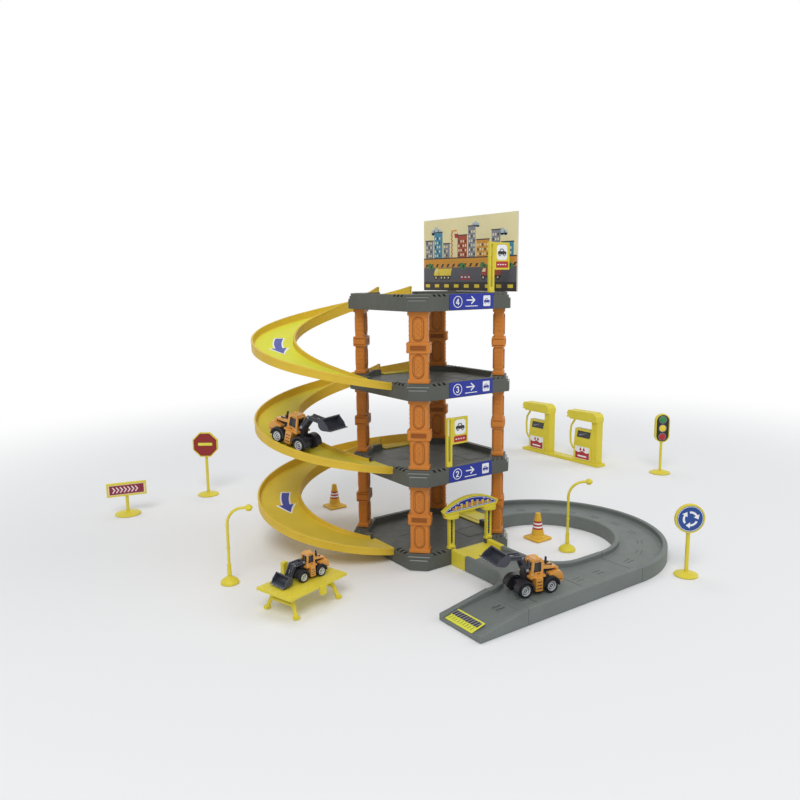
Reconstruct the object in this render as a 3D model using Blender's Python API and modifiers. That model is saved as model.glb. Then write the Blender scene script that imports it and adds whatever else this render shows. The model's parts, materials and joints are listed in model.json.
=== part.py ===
"""A toy parking garage: a tower of four decks on twelve columns, three spiral ramps, a looped
road with two connectors, an entrance arch, signs, lamps, cones, a fuel station, a work table
and three wheel loaders whose arms, buckets and wheels move.

Sizes are in millimetres. The origin is on the ground under the middle of the tower, +Z is up,
+X runs from the front column to the right column and +Y from the front column to the left one.
"""

import math

import bmesh
import bpy
from mathutils import Matrix, Vector

MM = 0.001
GAP = 0.3
OVER = 1.0
ROUND_SIDES = 16

# Tower
STOREY = 85.0
DECKS = 4
DECK_HALF = 66.0
DECK_CHAMFER = 13.0
DECK_HEIGHT = 16.0
DECK_FLOOR = 10.0
FLOOR_THICKNESS = 2.5
UNDER_RIB = 2.0
UNDER_BOSS = 6.0
RIM = 5.0
BLOCK_MARGIN = 2.7
NOTCH_WIDTH = 3.0
NOTCH_DEPTH = 2.4
NOTCH_START = 7.0
NOTCH_PITCH = 6.0
NOTCH_COUNT = 3
NOTCH_REACH = 4.5
CORNER_STEPS = ((3.5, 3.0), (1.8, 6.0))

# Columns
COLUMN_OFFSET = 51.5
COLUMN_WIDTH = 18.5
COLUMN_DEPTH = 10.0
COLUMN_CHAMFER = 1.2
FOOT_WIDTH = 20.5
FOOT_DEPTH = 12.0
FOOT_HEIGHT = 3.5
COLLAR_WIDTH = 23.0
COLLAR_DEPTH = 13.6
COLLAR_HEIGHT = 10.0
PANEL_WIDTH = 10.0
PANEL_MARGIN = 1.8
PANEL_PROUD = 0.7
PANEL_STEPS = 3
PEG_WIDTH = 8.0
PEG_DEPTH = 6.0
PEG_HEIGHT = 4.0

# Ramps
RAMP_LEAD = 2.0
RAMP_CENTRE = (-DECK_HALF - RAMP_LEAD, DECK_HALF + RAMP_LEAD)
RAMP_RADIUS = 71.0
RAMP_WIDTH = 46.0
RAMP_WALL = 2.0
RAMP_FLOOR = 2.0
RAMP_SKIRT = 2.0
RAMP_WALL_START = 10.0
RAMP_WALL_END = 3.5
RAMP_TURN = 1.5 * math.pi
RAMP_STEPS = 33
TONGUE_THICKNESS = 1.2
TONGUE_REACH = 6.0

# Road
ROAD_WIDTH = 53.0
ROAD_SURFACE = 9.0
KERB_HEIGHT = 15.0
KERB_WIDTH = 5.2
KERB_ROUND = 1.3
LOOP_CENTRE = (93.0, -86.0)
LOOP_RADIUS = 95.5
LOOP_STEPS = 12
ENTRY_JOINT = -56.0
ENTRY_BREAK = -84.0
ENTRY_TIP = -109.0
TIP_SURFACE = 2.5
TIP_KERB = 6.0
GATE_X = 3.0
BRANCH_END = -87.0
BRANCH_FILLET = 31.0
FILLET_STEPS = 6

# Arch over the entrance
ARCH_SPAN = 49.6
ARCH_POST_WIDTH = 6.6
ARCH_POST_DEPTH = 3.6
ARCH_POST_HEIGHT = 33.0
ARCH_RAIL = 1.7
ARCH_CAP_RADIUS = 8.2
ARCH_CAP_HEIGHT = 3.0
ARCH_FOOT_WIDTH = 8.4
ARCH_FOOT_HEIGHT = 5.0
ARCH_BOARD_WIDTH = 73.0
ARCH_BOARD_END = 4.0
ARCH_BOARD_RISE = 11.0
ARCH_BOARD_DEPTH = 4.0
ARCH_BOARD_UNDERCUT = 2.0

# Parking signs and billboard
SIGN_POST_WIDTH = 6.4
SIGN_POST_DEPTH = 3.0
SIGN_POST_HEIGHT = 49.0
SIGN_FOOT = 5.0
SIGN_RAIL = 1.7
SIGN_PLATE_WIDTH = 20.0
SIGN_PLATE_HEIGHT = 27.0
SIGN_PLATE_DEPTH = 2.4
SIGN_PEG = 2.4
ROOF_SIGN_INSET = 37.0
DECK_SIGN_INSET = 41.5
ROOF_SIGN_X = DECK_HALF - ROOF_SIGN_INSET
DECK_SIGN_X = DECK_SIGN_INSET - DECK_HALF
BOARD_INSET = 1.0
BOARD_LOW_Y = BOARD_INSET - DECK_HALF
BOARD_LENGTH = 156.0
BOARD_HEIGHT = 80.0
BOARD_THICKNESS = 1.8
BOARD_TAB_WIDTH = 14.0
BOARD_TAB_DEPTH = 7.0
BOARD_TAB_SPACING = 80.0

# Free-standing signs: base, post, plate
FACE_TURN = math.radians(-35.0)
BASE_THICKNESS = 2.6
POST_RADIUS = 1.9
STOP_PLACE = (-129.5, 323.0)
STOP_HEIGHT = 86.0
STOP_RADIUS = 16.5
STOP_BASE = 13.8
ROUNDABOUT_PLACE = (141.5, -222.0)
ROUNDABOUT_HEIGHT = 72.0
ROUNDABOUT_RADIUS = 14.4
ROUNDABOUT_BASE = 11.4
PLATE_DEPTH = 3.2
BARRIER_PLACE = (-241.0, 303.0)
BARRIER_HEIGHT = 41.0
BARRIER_PLATE = (46.5, 17.0)
BARRIER_BASE = 15.5
BARRIER_TURN = math.radians(-12.0)
TRAFFIC_PLACE = (443.5, 25.5)
TRAFFIC_HEIGHT = 88.0
TRAFFIC_HEAD = (20.5, 42.0)
TRAFFIC_HEAD_DEPTH = 6.0
TRAFFIC_BASE = 14.6

# Street lamps
LAMP_PLACES = {"street_lamp_left": (-222.0, 25.0), "street_lamp_loop": (100.0, -108.0)}
LAMP_HEIGHT = 74.5
LAMP_BEND = 16.0
LAMP_REACH = 21.0
LAMP_TUBE = 1.35
LAMP_SOCKET = (1.9, 18.0)
LAMP_BASE = 8.8
LAMP_BASE_HEIGHT = 6.5
LAMP_HEAD_RADIUS = 4.0
LAMP_HEAD_HEIGHT = 5.6

# Traffic cones
CONE_PLACES = {"traffic_cone_loop": (101.0, -64.0), "traffic_cone_left": (-20.0, 173.0)}
CONE_BASE = 23.5
CONE_BASE_HEIGHT = 2.2
CONE_BASE_CORNER = 3.0
CONE_HEIGHT = 29.5
CONE_FOOT_RADIUS = 7.0
CONE_TOP_RADIUS = 2.9
CONE_SKIRT_RADIUS = 8.6

# Fuel station
FUEL_X = (393.5, 411.0)
FUEL_Y = (99.0, 258.0)
FUEL_BASE_HEIGHT = 4.0
FUEL_PUMP_SPACING = 97.0
PUMP_INSET = 5.0
PUMP_SETBACK = 2.0
PUMP_PILLAR = (11.0, 12.5)
PUMP_BODY = (35.0, 13.0)
PUMP_BODY_HEIGHT = 53.0
PUMP_SLOPE = 3.0
PUMP_WAIST = 28.0
PUMP_HEIGHT = 81.5
CANOPY_REACH = 58.0
CANOPY_HEIGHT = 14.0
CANOPY_DEPTH = 17.0
CANOPY_END = 7.0
HOSE_RADIUS = 1.6
HOSE_SWELL = 13.0
HOSE_FOOT = 18.0

# Work table
TABLE_PLACE = (-186.5, -57.0)
TABLE_TURN = math.radians(17.0)
TABLE_SIZE = (71.0, 42.0)
TABLE_HEIGHT = 22.0
TABLE_THICKNESS = 2.6
TABLE_TAB = (4.0, 5.5)
TABLE_TAB_HEIGHT = 12.0
TABLE_LEG_RADIUS = 1.9
TABLE_FOOT = 4.6
TABLE_LEG_INSET = 12.0
TABLE_LEG_SPLAY = 3.0
TABLE_TAB_SHIFT = 3.0
TABLE_UP_TAB_SHIFT = -1.0

# Wheel loader, measured in its own frame: +X forward, origin on the road under its middle
WHEELBASE = 28.5
WHEEL_RADIUS = 6.6
WHEEL_WIDTH = 6.0
HUB_RADIUS = 4.9
HUB_DEPTH = 0.9
TRACK = 21.0
AXLE_RADIUS = 1.3
AXLE_PLAY = 0.35
FENDER_PLAY = 1.0
FENDER_THICKNESS = 1.6
FENDER_STEPS = 7
FENDER_HALF_WIDTH = 13.3
FENDER_ROOT = 0.8
CHASSIS_HALF_WIDTH = 6.4
CHASSIS_LOW = 3.5
CHASSIS_TOP = 12.0
CHASSIS_REAR = -21.5
CHASSIS_FRONT = 16.8
ENGINE_HALF_WIDTH = 4.4
ENGINE_REAR = -20.5
ENGINE_FRONT = -9.6
ARM_PIVOT = (8.5, 23.0)
TOWER_HALF_WIDTH = 3.6
TOWER_HALF_LENGTH = 2.6
PIN_RADIUS = 1.0
PIN_PLAY = 0.3
ARM_THICKNESS = 1.9
ARM_BEAM = 3.8
ARM_ELBOW = (14.0, -0.5)
ARM_BAR = 1.3
BUCKET_PIVOT = (21.0, -15.0)
BUCKET_HALF_WIDTH = 14.0
BUCKET_RADIUS = 6.1
BUCKET_SHELL = 1.3
BUCKET_BACK = 3.4
BUCKET_LIP = 8.5
CAB_HALF_WIDTH = 6.5
CAB_REAR = -8.6
CAB_FRONT = 4.4
CAB_TOP = 32.5
CAB_SILL = 17.8
CAB_SLOPE = 1.4
CAB_ROUND = 2.0
WINDOW_DEPTH = 1.0
WINDOW_FRAME = 2.1
HOOD_TOP = 25.0
HOOD_FALL = 2.4
HOOD_THICKNESS = 2.8
HOOD_REAR = -25.5
HOOD_WALL = 2.4
HOOD_HALF_WIDTH = 6.4
WEIGHT_HALF_WIDTH = 10.6
WEIGHT_FRONT = -13.5
WEIGHT_REAR = -28.5
WEIGHT_LOW = 9.0
WEIGHT_TOP = 19.0
SILL_FRONT = 8.0
SILL_THICKNESS = 1.9
SILL_HALF_WIDTH = 10.6
STEP_FRONT = 3.4
STEP_REAR = -3.8
STEP_LOW = 4.2
STEP_HALF_WIDTH = 13.3
EXHAUST_HEIGHT = 5.5
EXHAUST_RADIUS = 0.9
EXHAUST_X = -15.5

# Where each loader stands, with its arm and bucket angles in degrees. The road loader's offset
# is measured from the middle of the junction.
ROAD_LOADER = {
    "offset": (-21.8, 7.9), "heading": 169.0, "scale": 0.95, "arm": 70.0, "bucket": -52.0,
}
TABLE_LOADER = {"along": 7.0, "across": 1.5, "heading": -7.0, "scale": 0.7, "arm": 0.0, "bucket": 0.0}
RAMP_LOADER = {"level": 3, "turn": 198.5, "shift": 3.2, "yaw": 4.0, "arm": 66.0, "bucket": -52.0}

COLOURS = {
    "deck_grey": ((0.090, 0.096, 0.088), 0.45, 0.0),
    "road_grey": ((0.150, 0.165, 0.160), 0.45, 0.0),
    "column_orange": ((0.680, 0.220, 0.040), 0.42, 0.0),
    "ramp_yellow": ((0.760, 0.520, 0.030), 0.40, 0.0),
    "sign_yellow": ((0.830, 0.700, 0.045), 0.40, 0.0),
    "card_print": ((0.800, 0.740, 0.420), 0.60, 0.0),
    "loader_orange": ((0.760, 0.330, 0.035), 0.35, 0.2),
    "black_plastic": ((0.022, 0.022, 0.026), 0.50, 0.0),
}


def clear_scene():
    for item in list(bpy.data.objects):
        bpy.data.objects.remove(item)


def new_collection(name, hidden=False):
    collection = bpy.data.collections.new(name)
    bpy.context.scene.collection.children.link(collection)
    collection.hide_render = hidden
    return collection


def material(name):
    """The named finish, made the first time it is asked for."""
    found = bpy.data.materials.get(name)
    if found:
        return found
    colour, roughness, metallic = COLOURS[name]
    made = bpy.data.materials.new(name)
    made.use_nodes = True
    shader = made.node_tree.nodes["Principled BSDF"]
    shader.inputs["Base Color"].default_value = (*colour, 1.0)
    shader.inputs["Roughness"].default_value = roughness
    shader.inputs["Metallic"].default_value = metallic
    made.diffuse_color = (*colour, 1.0)
    return made


def shape_of(bm):
    """A loose working shape from a bmesh, kept with the cutters until it is joined or cut."""
    bmesh.ops.recalc_face_normals(bm, faces=bm.faces)
    mesh = bpy.data.meshes.new("shape")
    bm.to_mesh(mesh)
    bm.free()
    item = bpy.data.objects.new("shape", mesh)
    item.hide_render = True
    item.display_type = "WIRE"
    CUTTERS.objects.link(item)
    return item


def evaluated_mesh(item):
    bpy.context.view_layer.update()
    return bpy.data.meshes.new_from_object(item.evaluated_get(bpy.context.evaluated_depsgraph_get()))


def box(low, high):
    bm = bmesh.new()
    low, high = Vector(low) * MM, Vector(high) * MM
    size = high - low
    placed = Matrix.Translation((low + high) / 2) @ Matrix.Diagonal((*size, 1.0))
    bmesh.ops.create_cube(bm, size=1.0, matrix=placed)
    return shape_of(bm)


def rod(start, end, radius, end_radius=None, sides=ROUND_SIDES):
    """A round bar, or a cone with an end radius, between two points."""
    start, end = Vector(start) * MM, Vector(end) * MM
    way = end - start
    bm = bmesh.new()
    turned_to = way.to_track_quat("Z", "Y").to_matrix().to_4x4()
    bmesh.ops.create_cone(
        bm,
        cap_ends=True,
        segments=sides,
        radius1=radius * MM,
        radius2=(radius if end_radius is None else end_radius) * MM,
        depth=way.length,
        matrix=Matrix.Translation((start + end) / 2) @ turned_to,
    )
    return shape_of(bm)


def bore(start, end, radius, sides=10):
    """A round cutter whose flats, and not only its edges, clear the given radius."""
    return rod(start, end, radius / math.cos(math.pi / sides), sides=sides)


AXES = {
    "Z": Matrix.Identity(4),
    "Y": Matrix(((1, 0, 0, 0), (0, 0, 1, 0), (0, 1, 0, 0), (0, 0, 0, 1))),
    "X": Matrix(((0, 0, 1, 0), (1, 0, 0, 0), (0, 1, 0, 0), (0, 0, 0, 1))),
}


def plate(outline, low, high, axis="Z"):
    """A flat outline made solid from low to high along an axis.

    The outline holds (x, y) for Z, (x, z) for Y and (y, z) for X.
    """
    curve = bpy.data.curves.new("outline", "CURVE")
    curve.dimensions = "2D"
    curve.fill_mode = "BOTH"
    curve.extrude = (high - low) / 2 * MM
    spline = curve.splines.new("POLY")
    spline.points.add(len(outline) - 1)
    for point, (u, v) in zip(spline.points, outline):
        point.co = (u * MM, v * MM, 0.0, 1.0)
    spline.use_cyclic_u = True
    guide = bpy.data.objects.new("outline", curve)
    CUTTERS.objects.link(guide)
    mesh = evaluated_mesh(guide)
    bpy.data.objects.remove(guide)
    bm = bmesh.new()
    bm.from_mesh(mesh)
    bmesh.ops.remove_doubles(bm, verts=bm.verts, dist=1e-6)
    bmesh.ops.translate(bm, verts=bm.verts, vec=(0, 0, (low + high) / 2 * MM))
    bmesh.ops.transform(bm, verts=bm.verts, matrix=AXES[axis])
    return shape_of(bm)


def tube(points, radius, resolution=2):
    """A round tube along a list of points, closed at both ends."""
    curve = bpy.data.curves.new("tube", "CURVE")
    curve.dimensions = "3D"
    curve.bevel_depth = radius * MM
    curve.bevel_resolution = resolution
    curve.use_fill_caps = True
    spline = curve.splines.new("POLY")
    spline.points.add(len(points) - 1)
    for point, place in zip(spline.points, points):
        point.co = (*(Vector(place) * MM), 1.0)
    guide = bpy.data.objects.new("tube", curve)
    CUTTERS.objects.link(guide)
    mesh = evaluated_mesh(guide)
    bpy.data.objects.remove(guide)
    bm = bmesh.new()
    bm.from_mesh(mesh)
    bmesh.ops.remove_doubles(bm, verts=bm.verts, dist=1e-6)
    return shape_of(bm)


def turned(profile, sides=ROUND_SIDES):
    """A turned solid about Z from (radius, height) points that run down its outer side."""
    mesh = bpy.data.meshes.new("profile")
    points = [(radius * MM, 0.0, height * MM) for radius, height in profile]
    mesh.from_pydata(points, [(i, i + 1) for i in range(len(points) - 1)], [])
    guide = bpy.data.objects.new("profile", mesh)
    CUTTERS.objects.link(guide)
    screw = guide.modifiers.new("turn", "SCREW")
    screw.steps = sides
    screw.render_steps = sides
    screw.use_merge_vertices = True
    screw.merge_threshold = 1e-6
    solid = evaluated_mesh(guide)
    bpy.data.objects.remove(guide)
    bm = bmesh.new()
    bm.from_mesh(solid)
    return shape_of(bm)


def shifted(item, by, turn=0.0):
    """Turns a working shape about Z and then moves it."""
    item.data.transform(Matrix.Translation(Vector(by) * MM) @ Matrix.Rotation(turn, 4, "Z"))
    return item


def combined(target, others, operation):
    """The target joined with, or cut by, the other shapes, which are used up."""
    group = bpy.data.collections.new("operands")
    CUTTERS.children.link(group)
    for other in others:
        group.objects.link(other)
    change = target.modifiers.new("change", "BOOLEAN")
    change.operation = operation
    change.solver = "EXACT"
    change.operand_type = "COLLECTION"
    change.collection = group
    mesh = evaluated_mesh(target)
    target.modifiers.clear()
    target.data = mesh
    for other in others:
        bpy.data.objects.remove(other)
    bpy.data.collections.remove(group)
    return target


def joined(shapes):
    return combined(shapes[0], shapes[1:], "UNION")


def cut(target, cutters):
    return combined(target, cutters, "DIFFERENCE")


def part(item, name, finish):
    """Names a finished shape, gives it its material and puts it in the garage."""
    item.name = name
    item.data.name = name
    item.hide_render = False
    item.display_type = "TEXTURED"
    item.data.materials.clear()
    item.data.materials.append(material(finish))
    item.data.shade_smooth()
    item.data.set_sharp_from_angle(angle=math.radians(32.0))
    CUTTERS.objects.unlink(item)
    GARAGE.objects.link(item)
    return item


def copy_of(item, name):
    """Another object on the same mesh."""
    twin = bpy.data.objects.new(name, item.data)
    GARAGE.objects.link(twin)
    return twin


def place(item, location, turn=0.0):
    item.location = Vector(location) * MM
    item.rotation_euler = (0.0, 0.0, turn)
    return item


def octagon(half, leg):
    """A square of the given half side whose corners are cut off by the given leg."""
    near = half - leg
    return [
        (-half, -near), (-near, -half), (near, -half), (half, -near),
        (half, near), (near, half), (-near, half), (-half, near),
    ]


def arc(centre, radius, start, end, steps):
    """Points on an arc, with its angles in degrees."""
    angles = [math.radians(start + (end - start) * i / steps) for i in range(steps + 1)]
    return [(centre[0] + radius * math.cos(a), centre[1] + radius * math.sin(a)) for a in angles]


def deck_base(level):
    return (level - 1) * STOREY


def pocket_outline():
    """The inner edge of the rim: square, with its corners cut off beside the columns."""
    half = DECK_HALF - RIM
    radial = COLUMN_OFFSET * math.sqrt(2) - COLUMN_DEPTH / 2 - BLOCK_MARGIN
    return octagon(half, 2 * half - radial * math.sqrt(2))


RAMP_GATE_START = RAMP_CENTRE[0] + RAMP_RADIUS
RAMP_GATE_END = RAMP_CENTRE[1] - RAMP_RADIUS
ROAD_GATE_BACK = LOOP_CENTRE[1] + LOOP_RADIUS
CHANNEL = RAMP_WIDTH - 2 * RAMP_WALL
LANE = ROAD_WIDTH - 2 * KERB_WIDTH


def gate_cutter(level, face, centre, width):
    """The way through the rim on one face, down to the deck's floor."""
    low_z = deck_base(level) + DECK_FLOOR
    high_z = deck_base(level) + DECK_HEIGHT + OVER
    half = width / 2 + GAP
    inner = DECK_HALF - RIM - OVER
    outer = DECK_HALF + OVER
    if face == "-Y":
        return box((centre - half, -outer, low_z), (centre + half, -inner, high_z))
    if face == "+Y":
        return box((centre - half, inner, low_z), (centre + half, outer, high_z))
    if face == "-X":
        return box((-outer, centre - half, low_z), (-inner, centre + half, high_z))
    return box((inner, centre - half, low_z), (outer, centre + half, high_z))


def notch_cutters(level):
    """Slanted saw teeth cut into the top edges of the corner blocks, on all four faces."""
    top = deck_base(level) + DECK_HEIGHT
    lean = NOTCH_WIDTH / 2
    cutters = []
    for index in range(NOTCH_COUNT):
        for side in (-1, 1):
            near = side * (DECK_HALF - DECK_CHAMFER - NOTCH_START - NOTCH_PITCH * index)
            teeth = [
                (near - lean, top + OVER), (near + lean, top + OVER),
                (near + lean - side * NOTCH_WIDTH, top - NOTCH_DEPTH),
                (near - lean - side * NOTCH_WIDTH, top - NOTCH_DEPTH),
            ]
            for axis in ("X", "Y"):
                cutters.append(plate(teeth, -DECK_HALF - OVER, -DECK_HALF + NOTCH_REACH, axis))
                cutters.append(plate(teeth, DECK_HALF - NOTCH_REACH, DECK_HALF + OVER, axis))
    return cutters


def corner_cutters(level):
    """The two steps down each cut corner, outside the column's foot."""
    face = (2 * DECK_HALF - DECK_CHAMFER) / math.sqrt(2)
    top = deck_base(level) + DECK_HEIGHT
    reach = 2 * DECK_CHAMFER
    cutters = []
    for sx in (-1, 1):
        for sy in (-1, 1):
            for inset, depth in CORNER_STEPS:
                step = box((face - inset, -reach, top - depth), (face + OVER, reach, top + OVER))
                cutters.append(shifted(step, (0.0, 0.0, 0.0), math.atan2(sy, sx)))
    return cutters


def corner_turn(sx, sy):
    """The turn that brings a column's wide face square to the corner it stands at."""
    return math.atan2(sy, sx) + math.pi / 2


def socket_cutters(level):
    """Holes for the column pegs, on top under a column and below over one."""
    width = PEG_WIDTH / 2 + GAP
    depth = PEG_DEPTH / 2 + GAP
    top = DECK_HEIGHT - PEG_HEIGHT - GAP
    cutters = []
    for sx in (-1, 1):
        for sy in (-1, 1):
            where = (sx * COLUMN_OFFSET, sy * COLUMN_OFFSET, deck_base(level))
            turn = corner_turn(sx, sy)
            if level < DECKS:
                hole = box((-width, -depth, top), (width, depth, DECK_HEIGHT + OVER))
                cutters.append(shifted(hole, where, turn))
            if level > 1:
                hole = box((-width, -depth, -OVER), (width, depth, PEG_HEIGHT + GAP))
                cutters.append(shifted(hole, where, turn))
    return cutters


def underside_cutters(level):
    """Hollows under the floor, which leave the rim, the corner blocks, crossed ribs and a boss."""
    base = deck_base(level)
    high = base + DECK_FLOOR - FLOOR_THICKNESS
    hollow = plate(pocket_outline(), base - OVER, high)
    half = UNDER_RIB / 2
    ribs = [
        box((-half, -DECK_HALF, base - 2 * OVER), (half, DECK_HALF, high + OVER)),
        box((-DECK_HALF, -half, base - 2 * OVER), (DECK_HALF, half, high + OVER)),
        rod((0.0, 0.0, base - 2 * OVER), (0.0, 0.0, high + OVER), UNDER_BOSS, sides=12),
    ]
    return [cut(hollow, ribs)]


def sign_socket(level, x):
    """The hole in the front rim for a parking sign's peg."""
    half = SIGN_PEG / 2 + GAP
    y = rim_middle()
    top = deck_base(level) + DECK_HEIGHT
    return box((x - half, -y - half, top - SIGN_FOOT), (x + half, -y + half, top + OVER))


def rim_middle():
    return DECK_HALF - RIM / 2


def billboard_slots():
    """The two slots in the roof's right-hand rim that take the billboard's tabs."""
    top = deck_base(DECKS) + DECK_HEIGHT
    half = BOARD_THICKNESS / 2 + GAP
    cutters = []
    for side in (-1, 1):
        y = side * BOARD_TAB_SPACING / 2
        reach = BOARD_TAB_WIDTH / 2 + GAP
        low = (rim_middle() - half, y - reach, top - BOARD_TAB_DEPTH - GAP)
        cutters.append(box(low, (rim_middle() + half, y + reach, top + OVER)))
    return cutters


def make_deck(level):
    base = deck_base(level)
    body = plate(octagon(DECK_HALF, DECK_CHAMFER), base, base + DECK_HEIGHT)
    cutters = [plate(pocket_outline(), base + DECK_FLOOR, base + DECK_HEIGHT + OVER)]
    if level > 1:
        cutters.append(gate_cutter(level, "+Y", RAMP_GATE_START, RAMP_WIDTH))
    if level < DECKS:
        cutters.append(gate_cutter(level, "-X", RAMP_GATE_END, RAMP_WIDTH))
    if level == 1:
        cutters.append(gate_cutter(level, "-Y", GATE_X, LANE))
        cutters.append(gate_cutter(level, "+X", ROAD_GATE_BACK, LANE))
    if level == 2:
        cutters.append(sign_socket(level, DECK_SIGN_X))
    if level == DECKS:
        cutters.append(sign_socket(level, ROOF_SIGN_X))
        cutters += billboard_slots()
    cutters += socket_cutters(level) + notch_cutters(level) + corner_cutters(level) + underside_cutters(level)
    return part(cut(body, cutters), f"deck_{level}", "deck_grey")


def slab(width, depth, low, high, corner=0.0):
    """An upright block centred on the Z axis, with its corners cut off if asked."""
    x, y = width / 2, depth / 2
    if not corner:
        return box((-x, -y, low), (x, y, high))
    near_x, near_y = x - corner, y - corner
    outline = [
        (-x, -near_y), (-near_x, -y), (near_x, -y), (x, -near_y),
        (x, near_y), (near_x, y), (-near_x, y), (-x, near_y),
    ]
    return plate(outline, low, high)


def make_column_shape():
    """One flat column on z = 0, its wide faces to -Y and +Y, with a peg at each end."""
    height = STOREY - DECK_HEIGHT - 2 * GAP
    middle = height / 2
    collar = COLLAR_HEIGHT / 2
    shapes = [
        slab(COLUMN_WIDTH, COLUMN_DEPTH, 0.0, height, COLUMN_CHAMFER),
        slab(FOOT_WIDTH, FOOT_DEPTH, 0.0, FOOT_HEIGHT),
        slab(FOOT_WIDTH, FOOT_DEPTH, height - FOOT_HEIGHT, height),
        slab(COLLAR_WIDTH, COLLAR_DEPTH, middle - collar, middle + collar, COLUMN_CHAMFER),
        slab(PEG_WIDTH, PEG_DEPTH, -PEG_HEIGHT, height + PEG_HEIGHT),
    ]
    radius = PANEL_WIDTH / 2
    low = FOOT_HEIGHT + PANEL_MARGIN + radius
    high = middle - collar - PANEL_MARGIN - radius
    reach = COLUMN_DEPTH / 2 + PANEL_PROUD
    for bottom, top in ((low, high), (height - high, height - low)):
        outline = arc((0.0, top), radius, 0.0, 180.0, PANEL_STEPS)
        outline += arc((0.0, bottom), radius, 180.0, 360.0, PANEL_STEPS)
        shapes.append(plate(outline, -reach, reach, "Y"))
    return joined(shapes)


def make_columns():
    first = None
    corners = {"front": (-1, -1), "right": (1, -1), "back": (1, 1), "left": (-1, 1)}
    for level in range(1, DECKS):
        for corner, (sx, sy) in corners.items():
            name = f"column_{level}_{corner}"
            if first is None:
                first = part(make_column_shape(), name, "column_orange")
                item = first
            else:
                item = copy_of(first, name)
            foot = deck_base(level) + DECK_HEIGHT + GAP
            where = (sx * COLUMN_OFFSET, sy * COLUMN_OFFSET, foot)
            place(item, where, corner_turn(sx, sy))


def ramp_floor_top():
    """The height of the ramp's floor above its upper deck's underside, where it leaves it."""
    spare = (RAMP_FLOOR - TONGUE_THICKNESS) / 2
    return DECK_FLOOR + GAP - spare + RAMP_FLOOR


def ramp_fall(turn):
    """How far the ramp's floor has dropped after a turn, in radians, from its upper end."""
    return STOREY * turn / RAMP_TURN


def ramp_angle(x, y):
    return math.atan2(y - RAMP_CENTRE[1], x - RAMP_CENTRE[0]) % (2 * math.pi)


def make_ramp_shape():
    """One spiral trough from z = 0 at its upper deck's underside down to the deck below."""
    top = ramp_floor_top()
    bottom = top - RAMP_FLOOR
    half = RAMP_WIDTH / 2
    inner = half - RAMP_WALL
    wall = top + RAMP_WALL_START
    skirt = bottom - RAMP_SKIRT
    section = [
        (-half, skirt), (-half, wall), (-inner, wall), (-inner, top), (inner, top), (inner, wall),
        (half, wall), (half, skirt), (inner, skirt), (inner, bottom), (-inner, bottom), (-inner, skirt),
    ]
    middle = RAMP_GATE_START
    lead = RAMP_CENTRE[1] - DECK_HALF - GAP
    bm = bmesh.new()
    start_y = RAMP_CENTRE[1] - lead
    points = [bm.verts.new(Vector((middle + u, start_y, z)) * MM) for u, z in section]
    end_face = bm.faces.new(points)
    pushed = bmesh.ops.extrude_face_region(bm, geom=[end_face])["geom"]
    verts = [item for item in pushed if isinstance(item, bmesh.types.BMVert)]
    bmesh.ops.translate(bm, verts=verts, vec=(0.0, lead * MM, 0.0))
    face = [item for item in pushed if isinstance(item, bmesh.types.BMFace)]
    spun = bmesh.ops.spin(
        bm,
        geom=face,
        cent=Vector((*RAMP_CENTRE, 0.0)) * MM,
        axis=(0.0, 0.0, 1.0),
        dvec=(0.0, 0.0, -STOREY / RAMP_STEPS * MM),
        angle=RAMP_TURN,
        steps=RAMP_STEPS,
    )["geom_last"]
    bmesh.ops.delete(bm, geom=face, context="FACES_ONLY")
    last = [item for item in spun if isinstance(item, bmesh.types.BMFace)]
    pushed = bmesh.ops.extrude_face_region(bm, geom=last)["geom"]
    verts = [item for item in pushed if isinstance(item, bmesh.types.BMVert)]
    bmesh.ops.translate(bm, verts=verts, vec=(lead * MM, 0.0, 0.0))
    bmesh.ops.delete(bm, geom=last, context="FACES_ONLY")
    bmesh.ops.remove_doubles(bm, verts=bm.verts, dist=1e-6)
    lower_ramp_walls(bm)
    body = shape_of(bm)
    tongue_low = DECK_FLOOR + GAP
    tongue_high = tongue_low + TONGUE_THICKNESS
    channel = CHANNEL / 2 - GAP
    outside = DECK_HALF + lead
    inside = DECK_HALF - TONGUE_REACH
    gate = RAMP_GATE_END
    tongues = [
        box((middle - channel, inside, tongue_low), (middle + channel, outside, tongue_high)),
        box(
            (-outside, gate - channel, tongue_low - STOREY),
            (-inside, gate + channel, tongue_high - STOREY),
        ),
    ]
    return joined([body, *tongues])


def lower_ramp_walls(bm):
    """Lets the walls come down evenly from their full height to the low one at the foot."""
    for vert in bm.verts:
        x, y, z = vert.co / MM
        turn = ramp_angle(x, y)
        if turn > RAMP_TURN:
            leaving = x - RAMP_CENTRE[0] > RAMP_CENTRE[1] - y
            turn = 0.0 if leaving else RAMP_TURN
        floor = ramp_floor_top() - ramp_fall(turn)
        if z > floor + OVER:
            share = turn / RAMP_TURN
            wall = RAMP_WALL_START + (RAMP_WALL_END - RAMP_WALL_START) * share
            vert.co.z = (floor + wall) * MM


def make_ramps():
    first = None
    for level in range(DECKS, 1, -1):
        name = f"ramp_{level}_to_{level - 1}"
        if first is None:
            first = part(make_ramp_shape(), name, "ramp_yellow")
            item = first
        else:
            item = copy_of(first, name)
        place(item, (0.0, 0.0, deck_base(level)))


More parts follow.
